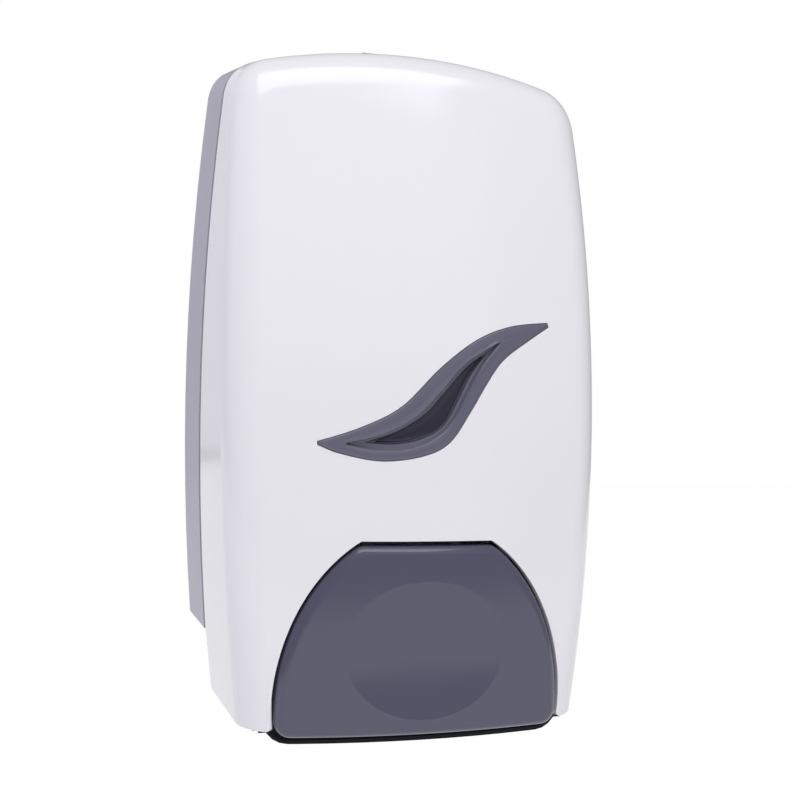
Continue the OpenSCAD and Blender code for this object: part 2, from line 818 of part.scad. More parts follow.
module piston_ring() {
    color("black")
        translate([0, -pump_depth, piston_foot + piston_h / 2])
            rotate_extrude()
                translate([groove_r + press_fit + ring_r, 0])
                    circle(r = ring_r, $fn = 24);
}

module outlet_tip() {
    tip_h = 8;
    color("black")
        translate([0, -pump_depth, outlet_z - 3])
            difference() {
                union() {
                    translate([0, 0, 2])
                        cylinder(r = outlet_r + 1.1, h = tip_h - 2);
                    cylinder(r = outlet_r, h = 3);
                }
                translate([0, 0, 3])
                    cylinder(r = outlet_r + press_fit, h = tip_h);
                translate([-outlet_r * 0.7, -0.3, -1])
                    cube([outlet_r * 1.4, 0.6, 6]);
            }
}

// A round wire wound as an even coil round Z.
module coil(radius, wire, height, turns, per_turn) {
    sides = 6;
    rings = turns * per_turn;
    points = [for (i = [0:rings])
        let (a = 360 * i / per_turn, z = wire + (height - 2 * wire) * i / rings)
        for (k = [0:sides - 1])
            let (b = 360 * k / sides)
            [(radius + wire * cos(b)) * cos(a), (radius + wire * cos(b)) * sin(a),
             z + wire * sin(b)]];
    polyhedron(points, concat(
        [[for (k = [0:sides - 1]) k]],
        [[for (k = [sides - 1:-1:0]) rings * sides + k]],
        flat([for (i = [0:rings - 1]) for (k = [0:sides - 1])
            let (n = (k + 1) % sides)
            quad(i * sides + k, (i + 1) * sides + k, (i + 1) * sides + n, i * sides + n)])));
}

spring_wire = 0.5;

module pump_spring() {
    low = collar_z + collar_h + seat_gap;
    color("lightgray")
        translate([0, -pump_depth, low])
            coil(stem_r + 2.4, spring_wire, plug_foot - seat_gap - low, 5, 14);
}

// ---------- Front cover ----------

tongue_root = cover_rear + 9;
frame_half = well_half_width - 3.7;
frame_screw_x = frame_half - 5;
frame_screw_z = pivot_z + 5;
frame_skin = cover_wall + 3;
frame_back = 0.6;
frame_thick = 2;
frame_boss_r = 3.6;
frame_pad = 2;
// Depth at which the cover's bosses meet the push frame.
frame_seat = face_at(frame_screw_x, frame_screw_z) - frame_skin - 0.8;

module window_opening() {
    prism(grown(swoosh_path, seat_gap), cover_rear, face_depth + 10);
}

module leg_corners() {
    centre = [-cover_rear - leg_corner, cover_low + leg_corner];
    cross_prism(concat([[1 - cover_rear, cover_low - 1], [1 - cover_rear, centre.y]],
                       [for (t = [0:-15:-90]) centre + leg_corner * polar(t)],
                       [[centre.x, cover_low - 1]]),
                -cover_width, cover_width);
}

module catch_tongue() {
    difference() {
        union() {
            translate([-tongue_half, -tongue_root, tongue_z - tongue_thick])
                cube([2 * tongue_half, tongue_root - tongue_rear, tongue_thick]);
            translate([-tongue_half, -tongue_root, tongue_z - tongue_thick])
                cube([2 * tongue_half, tongue_root - cover_rear - 1,
                      top_at(tongue_root) - cover_wall / 2 - tongue_z + tongue_thick]);
        }
        translate([-barb_half - barb_gap, -barb_front - 0.6, tongue_z - tongue_thick - 1])
            cube([2 * (barb_half + barb_gap), barb_front + 0.6 - barb_rear + barb_gap,
                  tongue_thick + 2]);
    }
}

module hinge_boss() {
    seat = hinge_arm_x + hinge_arm + move_gap;
    translate([0, -hinge_depth, hinge_z])
        x_rod(hinge_eye_r, seat, cover_width / 2 - 5.6);
}

module front_cover() {
    color("white")
        difference() {
            union() {
                difference() {
                    shell(cover_low, cover_wall, cover_rear);
                    prism(well_path(0), cover_rear + 10, face_depth + 10);
                    window_opening();
                    leg_corners();
                }
                both_sides()
                    hinge_boss();
                catch_tongue();
                both_sides()
                    translate([frame_screw_x, 0, frame_screw_z])
                        y_rod(frame_boss_r, frame_seat + seat_gap, frame_seat + 5.2);
            }
            translate([0, -hinge_depth, hinge_z])
                both_sides()
                    x_rod(hinge_pin_r + press_fit, hinge_arm_x, cover_width / 2 - 7.5);
            both_sides()
                translate([frame_screw_x, 0, frame_screw_z])
                    y_rod(screw_r + press_fit, frame_seat - 1, frame_seat + screw_bite + 0.3);
        }
}

module hinge_pins() {
    color("lightgray")
        both_sides()
            translate([0, -hinge_depth, hinge_z]) {
                x_rod(hinge_pin_r, hinge_arm_x - 1, cover_width / 2 - 7.6);
                x_rod(hinge_pin_r + 1.2, hinge_arm_x - 2.2, hinge_arm_x - seat_gap);
            }
}

module window_bezel() {
    low = [-40, -30];
    high = [48, 23];
    steps = [10, 6];
    flange = grown(swoosh_path, rim_width);
    back = -cover_wall - seat_gap - rim_thickness;
    color("dimgray")
        difference() {
            union() {
                face_piece(swoosh_path, low, high, steps, bezel_proud, back);
                face_piece(flange, low, high, steps, -cover_wall - seat_gap, back);
            }
            face_piece(recess_path, low, high, steps, 3, -recess_depth);
            prism(grown(lens_path, seat_gap), cover_rear, face_depth + 10);
        }
}

module window_lens() {
    low = [-24, -26];
    high = [20, 9];
    steps = [6, 4];
    back = -cover_wall - 2 * seat_gap - rim_thickness;
    color("black")
        union() {
            face_piece(lens_path, low, high, steps, -recess_depth - 0.3, back - rim_thickness / 2);
            face_piece(grown(lens_path, rim_width), low, high, steps, back, back - rim_thickness);
        }
}

// ---------- Push frame, which carries the push bar on the cover ----------

frame_top = pivot_z + 12;
ear_x = frame_screw_x - 14;
ear_thick = 4;
frame_ear = 3;
pivot_depth = face_at(ear_x + ear_thick + frame_ear, pivot_z) - cover_wall - pivot_clear
              - pivot_eye_r;
well_rear = pivot_depth - 15;
well_reach = well_half_width + 11;
leg_rest_z = cover_low - move_gap;
pin_inner = ear_x - move_gap - frame_ear;
pin_outer = ear_x + ear_thick + move_gap + frame_ear;

module well_tube(inner, outer, low, high, front, back) {
    difference() {
        intersection() {
            prism(well_path(outer, foot_room), well_rear, face_depth + 10);
            curved_plate([-well_reach, low], [well_reach, high], [12, 2],
                         function(x, z) face_at(x, z) + front, function(x, z) back);
        }
        prism(well_path(inner, foot_room), 0, face_depth + 20);
    }
}

module leg_flange() {
    inner = well_half_width;
    outer = inner + 4.2;
    front = face_at(inner, cover_low) - 3.8;
    prism_depth = front - well_rear;
    translate([inner + frame_back, -front, leg_rest_z - 1])
        cube([outer - inner - 2, prism_depth, 1]);
    translate([inner + frame_back, -front + 2.4, leg_rest_z - 1])
        cube([outer - inner - frame_back, prism_depth - 2.4, 1]);
}

module push_frame() {
    slot_half = ear_thick / 2 + move_gap;
    color([0.08, 0.09, 0.12])
        difference() {
            union() {
                // The face ring and the bridge over it, behind the cover's face.
                difference() {
                    face_piece([[-frame_half, well_foot + 30], [frame_half, well_foot + 30],
                                [frame_half, frame_top], [-frame_half, frame_top]],
                               [-frame_half - 5, well_foot + 20], [frame_half + 5, frame_top + 2], [10, 6],
                               -frame_skin, -frame_skin - frame_thick);
                    prism(well_path(frame_back, foot_room), 0, face_depth + 20);
                }
                // The well's wall, deep inside, and its lip under the push bar.
                well_tube(frame_back, frame_back + 1.4, well_foot - 2, well_top - 12, -frame_skin, well_rear);
                well_tube(frame_back, frame_back + 1.3, well_foot - 2, leg_rest_z, -3.6, well_rear);
                both_sides()
                    leg_flange();
                both_sides()
                    for (x = [pin_inner, pin_outer - frame_ear])
                        translate([0, -pivot_depth, pivot_z])
                            x_rod(pivot_eye_r, x, x + frame_ear);
                both_sides()
                    translate([frame_screw_x, 0, frame_screw_z])
                        y_rod(frame_boss_r + 1.6, frame_seat - frame_pad, frame_seat + 0.6);
            }
            both_sides()
                translate([frame_screw_x, 0, frame_screw_z]) {
                    y_rod(frame_boss_r + 0.4, frame_seat, face_depth);
                    y_rod(screw_r + 0.3, frame_seat - frame_pad - 1, face_depth);
                }
            // Room for the push bar's ears.
            both_sides()
                translate([ear_x + ear_thick / 2 - slot_half, -face_depth, well_top - 20])
                    cube([2 * slot_half, face_depth, pivot_z + 6.5 - well_top + 20]);
            translate([0, -pivot_depth, pivot_z])
                both_sides()
                    x_rod(pivot_pin_r + press_fit, pin_inner - 1, pin_outer + 1);
        }
}

module frame_screws() {
    color("lightgray")
        both_sides()
            translate([frame_screw_x, 0, frame_screw_z])
                back_screw(frame_seat - frame_pad, frame_pad + screw_bite);
}

module pivot_pins() {
    color("lightgray")
        both_sides()
            translate([0, -pivot_depth, pivot_z])
                x_rod(pivot_pin_r, pin_inner - 0.5, pin_outer + 0.5);
}

// ---------- Push bar and lifter ----------

lifter_x = 15;
lifter_half = lifter_x + 4;
lifter_z = dish_z - 1;
lifter_seat = pivot_depth - 1.5;
lifter_thick = 2.5;
pad_r = 2.5;
pad_y = -pump_depth - 3;
pad_z = collar_z - move_gap - pad_r;
arm_in = stem_r + 2;
arm_out = arm_in + 4.5;

// Depth by which the dished oval lies below the push bar's face.
function dish_at(x, z) =
    let (r = norm([x / dish_half_width, (z - dish_z) / dish_half_height]))
    r >= 1 ? 0 : dish_depth * (1 - r * r);

// Distance of the push bar's face from the wall; its foot stands out the most.
function bar_face_at(x, z) =
    face_at(x, z) + 0.3 + (bar_stand - 0.3) * (well_top - z) / (well_top - well_foot);

function bar_point(p, sunk) = [p.x, sunk + dish_at(p.x, p.y) - bar_face_at(p.x, p.y), p.y];

// The rings of one skin of the push bar: side wall, rolled edge, face and dished oval.
function bar_rings(inset) =
    let (path = well_path(-bar_gap, foot_room),
         r = max(0.4, bar_roll - inset),
         last = grown(path, -inset - r),
         centre = [0, dish_z],
         oval = [for (p = last)
             let (t = atan2((p.y - dish_z) / dish_half_height, p.x / dish_half_width))
             centre + [dish_half_width * cos(t), dish_half_height * sin(t)]])
    concat([[for (p = grown(path, -inset)) bar_point(p, bar_skirt)]],
           [for (i = [0:4])
               let (a = 90 * i / 4)
               [for (p = grown(path, -inset - r * (1 - cos(a))))
                   bar_point(p, inset + r * (1 - sin(a)))]],
           [for (i = [1:4]) [for (k = [0:len(last) - 1])
               bar_point(last[k] + (oval[k] - last[k]) * i / 4, inset)]],
           [for (i = [1:4]) [for (p = oval)
               bar_point(centre + (p - centre) * (1 - i / 5), inset)]]);

module push_ear() {
    difference() {
        union() {
            cross_prism([[-pivot_depth - 3.5, pivot_z], [-pivot_depth - 5, pivot_z - 6],
                         [-pivot_depth - 5, pivot_z - 15.5], [-pivot_depth - 8.4, pivot_z - 18],
                         [-pivot_depth - 8.4, pivot_z - 28], [-pivot_depth - 2, pivot_z - 28],
                         [-pivot_depth + pivot_eye_r - 0.1, pivot_z]],
                        ear_x, ear_x + ear_thick);
            translate([0, -pivot_depth, pivot_z])
                x_rod(pivot_eye_r, ear_x, ear_x + ear_thick);
        }
        translate([0, -pivot_depth, pivot_z])
            x_rod(pivot_pin_r + run_fit, ear_x - 1, ear_x + ear_thick + 1);
    }
}

module push_bar() {
    color("slategray")
        difference() {
            union() {
                cup(bar_rings(0), bar_point([0, dish_z], 0),
                    bar_rings(bar_wall), bar_point([0, dish_z], bar_wall));
                both_sides()
                    push_ear();
                both_sides()
                    translate([lifter_x, 0, lifter_z])
                        y_rod(3.4, lifter_seat, bar_face_at(lifter_x, lifter_z) - dish_depth
                              - bar_wall + 1);
            }
            both_sides()
                translate([lifter_x, 0, lifter_z])
                    y_rod(screw_r + press_fit, lifter_seat - 1, lifter_seat + screw_bite + 0.3);
        }
}

module lifter_fork() {
    front = lifter_seat;
    color("white")
        difference() {
            union() {
                translate([-lifter_half, -front, lifter_z - 8])
                    cube([2 * lifter_half, lifter_thick, 15]);
                both_sides() {
                    cross_prism([[-front + 1, lifter_z - 7], [pad_y, pad_z - pad_r],
                                 [pad_y, pad_z + pad_r * 0.4], [pad_y - 10, pad_z - 0.5],
                                 [-front + 1, pad_z - 0.5]],
                                arm_in, arm_out);
                    translate([0, pad_y, pad_z])
                        x_rod(pad_r, arm_in, arm_out);
                }
            }
            both_sides()
                translate([lifter_x, 0, lifter_z])
                    y_rod(screw_r + 0.3, front - 10, front + 1);
        }
}

module lifter_screws() {
    color("lightgray")
        both_sides()
            translate([lifter_x, 0, lifter_z])
                back_screw(lifter_seat - lifter_thick, lifter_thick + screw_bite);
}

// ---------- Latch ----------

module latch_button() {
    top = top_at(-latch_y) + latch_proud;
    low = latch_shelf_z + 8;
    flange_top = top_at(latch_depth / 2 - latch_y) - plate_wall - move_gap
                 - pow(latch_width / 2 + 1.4, 2) / (2 * arch_radius);
    color("gainsboro") {
        translate([-latch_width / 2, latch_y - latch_depth / 2, tongue_z + 1])
            cube([latch_width, latch_depth, top - tongue_z - 1]);
        translate([-latch_width / 2 - 1.4, latch_y - latch_depth / 2, flange_top - 1.6])
            cube([latch_width + 2.8, latch_depth, 1.6]);
        translate([-slider_half, latch_y - slider_thick / 2, low])
            cube([2 * slider_half, slider_thick, tongue_z + 1 - low]);
        translate([-barb_half, -barb_front, low])
            cube([2 * barb_half, barb_front + latch_y, 3]);
        translate([-barb_half, -barb_front, low])
            cube([2 * barb_half, barb_front - barb_rear, tongue_z - 0.6 - low]);
    }
}

module latch_spring() {
    color("lightgray")
        translate([0, latch_y, latch_shelf_z + seat_gap])
            coil(2.4, 0.35, 8 - 2 * seat_gap, 5, 12);
}

back_plate();
pump_bracket();
bracket_screws();
refill_bottle();
retaining_cap();
neck_gasket();
pump_barrel();
barrel_plug();
inlet_valve();
front_cover();
window_bezel();
window_lens();
push_frame();
frame_screws();
hinge_pins();
pivot_pins();
push_bar();
lifter_fork();
lifter_screws();
pump_stem();
piston();
piston_ring();
outlet_tip();
pump_spring();
latch_button();
latch_spring();
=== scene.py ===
"""Dresses the CAD model of a wall mounted soap dispenser: every piece that shows gets its finished
surface and material, and a plain studio is set round it. It is laid out as an add-on and run as a script.
"""

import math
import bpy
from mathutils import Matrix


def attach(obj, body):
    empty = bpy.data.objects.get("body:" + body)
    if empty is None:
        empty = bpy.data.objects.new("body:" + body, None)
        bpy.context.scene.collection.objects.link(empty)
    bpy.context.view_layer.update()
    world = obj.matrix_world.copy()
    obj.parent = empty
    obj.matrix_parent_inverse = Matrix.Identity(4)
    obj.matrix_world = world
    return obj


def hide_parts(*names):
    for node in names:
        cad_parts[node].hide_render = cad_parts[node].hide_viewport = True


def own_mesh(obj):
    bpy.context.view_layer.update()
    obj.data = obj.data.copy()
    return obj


bl_info = {
    "name": "Soap dispenser dressing",
    "version": (1, 0, 0),
    "blender": (4, 5, 0),
    "location": "View3D > Sidebar > Dispenser",
    "description": "Builds the finished pieces of a wall mounted soap dispenser round its CAD model",
    "category": "Object",
}

import bpy
from mathutils import Matrix, Vector

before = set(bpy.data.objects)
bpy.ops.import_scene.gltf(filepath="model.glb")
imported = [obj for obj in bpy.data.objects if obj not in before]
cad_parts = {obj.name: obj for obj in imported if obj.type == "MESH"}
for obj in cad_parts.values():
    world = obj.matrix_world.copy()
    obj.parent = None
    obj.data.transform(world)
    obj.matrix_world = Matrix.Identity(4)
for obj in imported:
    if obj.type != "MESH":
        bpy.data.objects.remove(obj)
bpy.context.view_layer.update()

MM = 0.001


# ---------- Sizes and colours that a user would change ----------


def length(name, default, description):
    """A length in metres, whose default is given in millimetres."""
    return bpy.props.FloatProperty(
        name=name, description=description, default=default * MM, unit="LENGTH", precision=5
    )


def slope(name, default, description):
    """A widening towards the wall, per unit of depth."""
    return bpy.props.FloatProperty(name=name, description=description, default=default)


def colour(name, default, description):
    """A linear colour."""
    return bpy.props.FloatVectorProperty(
        name=name, description=description, default=default, subtype="COLOR", size=3, min=0.0, max=1.0
    )


class DispenserSizes(bpy.types.PropertyGroup):
    """Sizes of the cover, the push bar and the window."""

    cover_width: length("Cover width", 130.0, "Width of the cover at its widest line")
    widest_z: length("Widest line", 9.4, "Height of the widest line over the wall screws' centre")
    side_radius: length("Side radius", 975.0, "Radius of the long bowed sides")
    arch_top: length("Arch top", 108.8, "Height of the arched top at the front")
    arch_radius: length("Arch radius", 220.0, "Radius of the arched top")
    cover_low: length("Cover bottom", -112.0, "Height of the cover's bottom edge")
    corner_front: length("Front corner", 13.7, "Corner radius of the outline at the front")
    corner_rear: length("Rear corner", 6.6, "Corner radius of the outline at the wall")
    face_depth: length("Face depth", 85.0, "Deepest distance of the face from the wall")
    deepest_z: length("Deepest line", -102.0, "Height at which the face stands out most")
    face_radius_side: length("Side view radius", 628.0, "Radius of the face seen from the side")
    face_radius_plan: length("Plan radius", 274.0, "Radius of the face seen from above")
    edge_roll: length("Edge roll", 9.8, "Radius of the rolled edge round the face")
    side_draft: slope("Side draft", 0.063, "Widening of each side towards the wall")
    top_draft: slope("Top draft", 0.106, "Rise of the top towards the wall")
    cover_rear: length("Cover rear", 29.4, "Distance of the cover's rear edge from the wall")
    cover_wall: length("Cover wall", 2.5, "Wall thickness of the cover")
    leg_corner: length("Leg corner", 4.5, "Radius of the lower rear corners of the cover's legs")
    well_half_width: length("Well half width", 48.7, "Half the width of the arched opening")
    well_rise: length("Well rise", 59.5, "Half the height of the ellipse that the arch follows")
    well_z: length("Well centre", -105.4, "Height of the ellipse's centre")
    well_top: length("Well top", -52.4, "Height of the arch's flat top")
    well_foot: length("Well foot", -115.9, "Height of the well's lowest line")
    well_corner: length("Well corner", 6.4, "Radius of the well's lower corners")
    bar_gap: length("Bar gap", 1.1, "Gap between the push bar and the opening")
    foot_room: length("Foot room", 0.9, "Extra gap under the push bar, for its foot to swing")
    head_room: length("Head room", 0.4, "Extra gap over the push bar")
    bar_stand: length("Bar stand", 2.0, "Height of the push bar's foot over the cover")
    bar_head_stand: length("Bar head stand", 1.5, "Height of the push bar's top over the cover")
    bar_roll: length("Bar roll", 2.9, "Radius of the rolled edge of the push bar")
    bar_skirt: length("Bar skirt", 12.0, "Depth of the push bar's side walls")
    bar_wall: length("Bar wall", 3.0, "Wall thickness of the push bar")
    dish_half_width: length("Dish half width", 26.7, "Half the width of the dished oval")
    dish_half_height: length("Dish half height", 21.7, "Half the height of the dished oval")
    dish_z: length("Dish centre", -87.0, "Height of the oval's centre")
    dish_depth: length("Dish depth", 2.2, "Depth of the dished oval")
    bezel_proud: length("Bezel proud", 0.25, "Height of the bezel over the cover's face")
    recess_depth: length("Recess depth", 2.2, "Depth of the recess round the lens")


class DispenserColours(bpy.types.PropertyGroup):
    """Colours of the mouldings."""

    cover_white: colour("Cover", (0.80, 0.785, 0.83), "Gloss white of the cover")
    plate_grey: colour("Back plate", (0.38, 0.37, 0.45), "Light grey of the back plate")
    bar_grey: colour("Push bar", (0.081, 0.079, 0.124), "Dark grey of the push bar")
    bezel_grey: colour("Bezel", (0.118, 0.115, 0.162), "Dark grey of the window's bezel")
    lens_smoke: colour("Lens", (0.034, 0.031, 0.050), "Smoked lens")
    # The frame's near-black is partly painted shade: it makes the gaps round the push bar and the lip under
    # it read as deep shadow.
    frame_black: colour("Frame", (0.004, 0.005, 0.010), "Black of the frame behind the push bar")


# ---------- Form of the cover, in plan and in depth ----------

# Stations that the right half of the cover's outline shares with the opening's edge.
SIDE_STEPS = 56
SHOULDER_STEPS = 10
CORNER_STEPS = 14
ARCH_STEPS = 20


def polar(angle):
    """The unit vector at an angle."""
    return Vector((math.cos(angle), math.sin(angle)))


def face_at(s, x, z):
    """Distance of the cover's face from the wall."""
    return (
        s.face_depth
        - (z - s.deepest_z) ** 2 / (2 * s.face_radius_side)
        - x * x / (2 * s.face_radius_plan)
    )


def circles_meet(c1, r1, c2, r2):
    """The right-hand meeting point of two circles."""
    between = (c2 - c1).length
    along = (r1 * r1 - r2 * r2 + between * between) / (2 * between)
    across = math.sqrt(max(0.0, r1 * r1 - along * along))
    way = (c2 - c1) / between
    side = Vector((-way.y, way.x)) * across
    ends = (c1 + way * along + side, c1 + way * along - side)
    return max(ends, key=lambda p: p.x)


def corner_at(s, depth):
    """Corner radius of the outline at a distance from the wall."""
    full_depth = s.face_depth - 25 * MM
    share = min(1.0, depth / full_depth)
    return s.corner_rear + (s.corner_front - s.corner_rear) * share


def outline_half(s, corner, side):
    """Right half of the cover's outline: (place, outward normal) from its foot to the top's middle."""
    centre = Vector((s.cover_width / 2 - s.side_radius, s.widest_z))
    arch_centre = Vector((0.0, s.arch_top - s.arch_radius))
    middle = circles_meet(centre, s.side_radius - corner, arch_centre, s.arch_radius - corner)
    side_end = math.atan2(middle.y - centre.y, middle.x - centre.x)
    arch_end = math.atan2(middle.y - arch_centre.y, middle.x - arch_centre.x)
    points = []
    for share, height in side:
        low = math.asin((height - s.widest_z) / s.side_radius)
        n = polar(low + (side_end - low) * share)
        points.append((centre + n * s.side_radius, n))
    for i in range(1, CORNER_STEPS + 1):
        n = polar(side_end + (arch_end - side_end) * i / CORNER_STEPS)
        points.append((middle + n * corner, n))
    for i in range(1, ARCH_STEPS + 1):
        n = polar(arch_end + (math.pi / 2 - arch_end) * i / ARCH_STEPS)
        points.append((arch_centre + n * s.arch_radius, n))
    return points


def growth(s, n, depth):
    """Growth of the outline towards the wall, from the depth at which it has its stated size."""
    stated_depth = s.face_depth - 12 * MM
    return (s.side_draft * n.x**2 + s.top_draft * n.y**2) * (stated_depth - depth)


def well_edge_half(s):
    """Right half of the opening's edge from the cover's bottom to the middle of the opening's flat top."""
    start = math.asin((s.cover_low - s.well_z) / s.well_rise)
    end = math.asin((s.well_top - s.well_z) / s.well_rise)
    edge = []
    for i in range(SIDE_STEPS + 1):
        way = polar(start + (end - start) * i / SIDE_STEPS)
        edge.append(Vector((s.well_half_width * way.x, s.well_z + s.well_rise * way.y)))
    corner = edge[-1]
    flat_steps = SHOULDER_STEPS + CORNER_STEPS + ARCH_STEPS
    for i in range(1, flat_steps + 1):
        edge.append(Vector((corner.x * (1 - i / flat_steps), corner.y)))
    return edge


# ---------- Making and finishing meshes ----------

MERGE_DISTANCE = 0.004 * MM


def only(obj):
    """Leaves obj alone selected and active."""
    bpy.ops.object.select_all(action="DESELECT")
    obj.select_set(True)
    bpy.context.view_layer.objects.active = obj


def open_mesh(obj, action="SELECT"):
    """Starts editing obj's mesh, with all of it selected or, by the action DESELECT, none of it."""
    only(obj)
    bpy.ops.object.mode_set(mode="EDIT")
    bpy.ops.mesh.select_all(action=action)


def close_mesh():
    """Ends the editing of a mesh."""
    bpy.ops.object.mode_set(mode="OBJECT")


def grid_piece(name, rows, closed_rows=False, closed_columns=False):
    """A grid bent into a surface through rows of points, with its seams and poles closed."""
    if closed_columns:
        rows = [r + r[:1] for r in rows]
    if closed_rows:
        rows = rows + rows[:1]
    high, wide = len(rows), len(rows[0])
    bpy.ops.mesh.primitive_grid_add(x_subdivisions=wide - 1, y_subdivisions=high - 1, size=1)
    obj = bpy.context.object
    obj.name = name
    obj.data.name = name
    flat = [c for row in rows for point in row for c in point]
    obj.data.vertices.foreach_set("co", flat)
    obj.data.update()
    tidy(obj)
    return obj


def tidy(obj):
    """Merges what lies together and turns the faces outwards."""
    open_mesh(obj)
    bpy.ops.mesh.remove_doubles(threshold=MERGE_DISTANCE)
    bpy.ops.mesh.dissolve_degenerate(threshold=MERGE_DISTANCE)
    bpy.ops.mesh.select_all(action="SELECT")
    bpy.ops.mesh.normals_make_consistent(inside=False)
    close_mesh()


def add_modifier(obj, kind, **settings):
    """Adds one modifier and applies it."""
    only(obj)
    modifier = obj.modifiers.new(kind.title(), kind)
    for key, value in settings.items():
        setattr(modifier, key, value)
    bpy.ops.object.modifier_apply(modifier=modifier.name)


def soften_edges(obj, width, angle=40, segments=2):
    """Rounds the edges that are sharper than an angle."""
    limit = math.radians(angle)
    add_modifier(obj, "BEVEL", width=width, segments=segments, limit_method="ANGLE", angle_limit=limit)


def smooth(obj, angle):
    """Shades smoothly across the edges that are blunter than an angle."""
    only(obj)
    bpy.ops.object.shade_smooth_by_angle(angle=math.radians(angle))


def cut(obj, cutter):
    """Cuts a closed shape out of obj and deletes the shape."""
    add_modifier(obj, "BOOLEAN", operation="DIFFERENCE", solver="EXACT", object=cutter)
    bpy.data.objects.remove(cutter, do_unlink=True)
    return obj


def join(obj, others):
    """Makes obj and others one object."""
    bpy.ops.object.select_all(action="DESELECT")
    for part in (*others, obj):
        part.select_set(True)
    bpy.context.view_layer.objects.active = obj
    bpy.ops.object.join()


def settle(obj):
    """Puts a piece's place, turn and size into its mesh."""
    only(obj)
    bpy.ops.object.transform_apply(location=True, rotation=True, scale=True)


def prism(name, loop, depths):
    """A closed block along Y over a loop of (x, z) points, between two depths from the wall."""
    ends = [[(p.x, -depth, p.y) for p in loop] for depth in depths]
    obj = grid_piece(name, ends, closed_columns=True)
    cap_ends(obj)
    return obj


def cap_ends(obj):
    """Closes every open edge loop of a mesh with a flat face."""
    open_mesh(obj, "DESELECT")
    bpy.ops.mesh.select_mode(type="EDGE")
    bpy.ops.mesh.select_non_manifold(extend=False, use_wire=False, use_multi_face=False, use_verts=False)
    bpy.ops.mesh.edge_face_add()
    bpy.ops.mesh.select_all(action="SELECT")
    bpy.ops.mesh.normals_make_consistent(inside=False)
    close_mesh()


def cylinder(radius, length, place, turn, sides):
    """A cylinder with its place and turn settled into its mesh."""
    bpy.ops.mesh.primitive_cylinder_add(
        vertices=sides, radius=radius, depth=length, location=place, rotation=turn
    )
    obj = bpy.context.object
    settle(obj)
    return obj


def x_cylinder(radius, side, ends, y, z):
    """A cylinder along X on one side, -1 or 1, with its radius and ends in millimetres."""
    near, far = (side * end * MM for end in ends)
    return cylinder(radius * MM, abs(far - near), ((near + far) / 2, y, z), (0, math.pi / 2, 0), sides=48)


def y_cylinder(radius, x, z, depth, ends):
    """A cylinder along Y, with its radius and its ends' steps from a depth in millimetres."""
    near, far = (depth + end * MM for end in ends)
    return cylinder(radius * MM, abs(far - near), (x, -(near + far) / 2, z), (math.pi / 2, 0, 0), sides=40)


def block(x_ends, y_ends, z_ends):
    """A block between pairs of ends given in millimetres."""
    ends = (x_ends, y_ends, z_ends)
    bpy.ops.mesh.primitive_cube_add(
        size=1,
        location=[(a + b) / 2 * MM for a, b in ends],
        scale=[(b - a) * MM for a, b in ends],
    )
    obj = bpy.context.object
    settle(obj)
    return obj


def finish_piece(obj, name, body, node, material):
    """Names a finished piece, gives it its material and ties it to the frame."""
    settle(obj)
    obj.name = name
    obj.data.name = name
    obj.data.materials.clear()
    obj.data.materials.append(material)
    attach(obj, body)
    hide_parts(node)


def copy_node(node, bevel, smooth_angle):
    """A copy of a CAD node with its flat faces merged and its sharp edges softened."""
    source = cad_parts[node]
    obj = bpy.data.objects.new(node + "_dressed", source.data.copy())
    bpy.context.collection.objects.link(obj)
    open_mesh(obj)
    bpy.ops.mesh.remove_doubles(threshold=MERGE_DISTANCE / 2)
    bpy.ops.mesh.dissolve_limited(angle_limit=math.radians(0.3))
    close_mesh()
    if bevel:
        soften_edges(obj, bevel)
    smooth(obj, smooth_angle)
    add_modifier(obj, "WEIGHTED_NORMAL", keep_sharp=True)
    return obj


# ---------- Materials ----------

MICRON = 0.001 * MM

# Each plastic's tint drift, roughness, patchiness, skin scale, skin depth in microns, and IOR.
PLASTICS = {
    "cover_gloss_white": (0.012, 0.13, 0.04, 420, 6, 1.5),
    "plate_satin_grey": (0.03, 0.34, 0.08, 1500, 10, 1.48),
    "bar_gloss_grey": (0.05, 0.12, 0.06, 700, 8, 1.5),
    "bezel_satin_grey": (0.05, 0.2, 0.06, 1300, 8, 1.5),
    "lens_smoked": (0.08, 0.1, 0.03, 300, 4, 1.38),
    # The frame's black is partly painted shade, darker than black plastic, for the gaps round the push bar.
    "frame_black_and_painted_shade": (0.2, 0.55, 0.12, 2200, 20, 1.3),
    "pump_white": (0.03, 0.3, 0.08, 1400, 10, 1.48),
    "bracket_grey": (0.05, 0.42, 0.1, 1800, 20, 1.46),
    "bottle_milky": (0.05, 0.3, 0.1, 260, 40, 1.49),
    "piston_ivory": (0.05, 0.4, 0.1, 1500, 10, 1.47),
    "rubber_black": (0.15, 0.55, 0.15, 2600, 30, 1.45),
    "rubber_red": (0.15, 0.55, 0.15, 2600, 30, 1.45),
}

# Tones of the plastics inside the dispenser.
INNER_TONES = {
    "pump_white": (0.76, 0.76, 0.75),
    "bracket_grey": (0.42, 0.42, 0.45),
    "bottle_milky": (0.62, 0.70, 0.74),
    "piston_ivory": (0.70, 0.66, 0.54),
    "rubber_black": (0.03, 0.03, 0.033),
    "rubber_red": (0.40, 0.10, 0.06),
}


def feed(tree, node, inputs):
    """Feeds a node's inputs: a socket is linked, and anything else is set."""
    for key, value in inputs.items():
        if isinstance(value, bpy.types.NodeSocket):
            tree.links.new(value, node.inputs[key])
        else:
            node.inputs[key].default_value = value
    return node


def add_node(tree, kind, inputs=None, operation=None):
    """Adds a shader node and feeds it."""
    node = tree.nodes.new("ShaderNode" + kind)
    if operation:
        node.operation = operation
    return feed(tree, node, inputs or {})


def multiply_add(tree, a, b, c):
    """a * b + c, where each is a socket or a number."""
    return add_node(tree, "Math", {0: a, 1: b, 2: c}, "MULTIPLY_ADD").outputs[0]


def scaled(tree, tone, share):
    """A colour times a number."""
    return add_node(tree, "VectorMath", {0: tone, "Scale": share}, "SCALE").outputs[0]


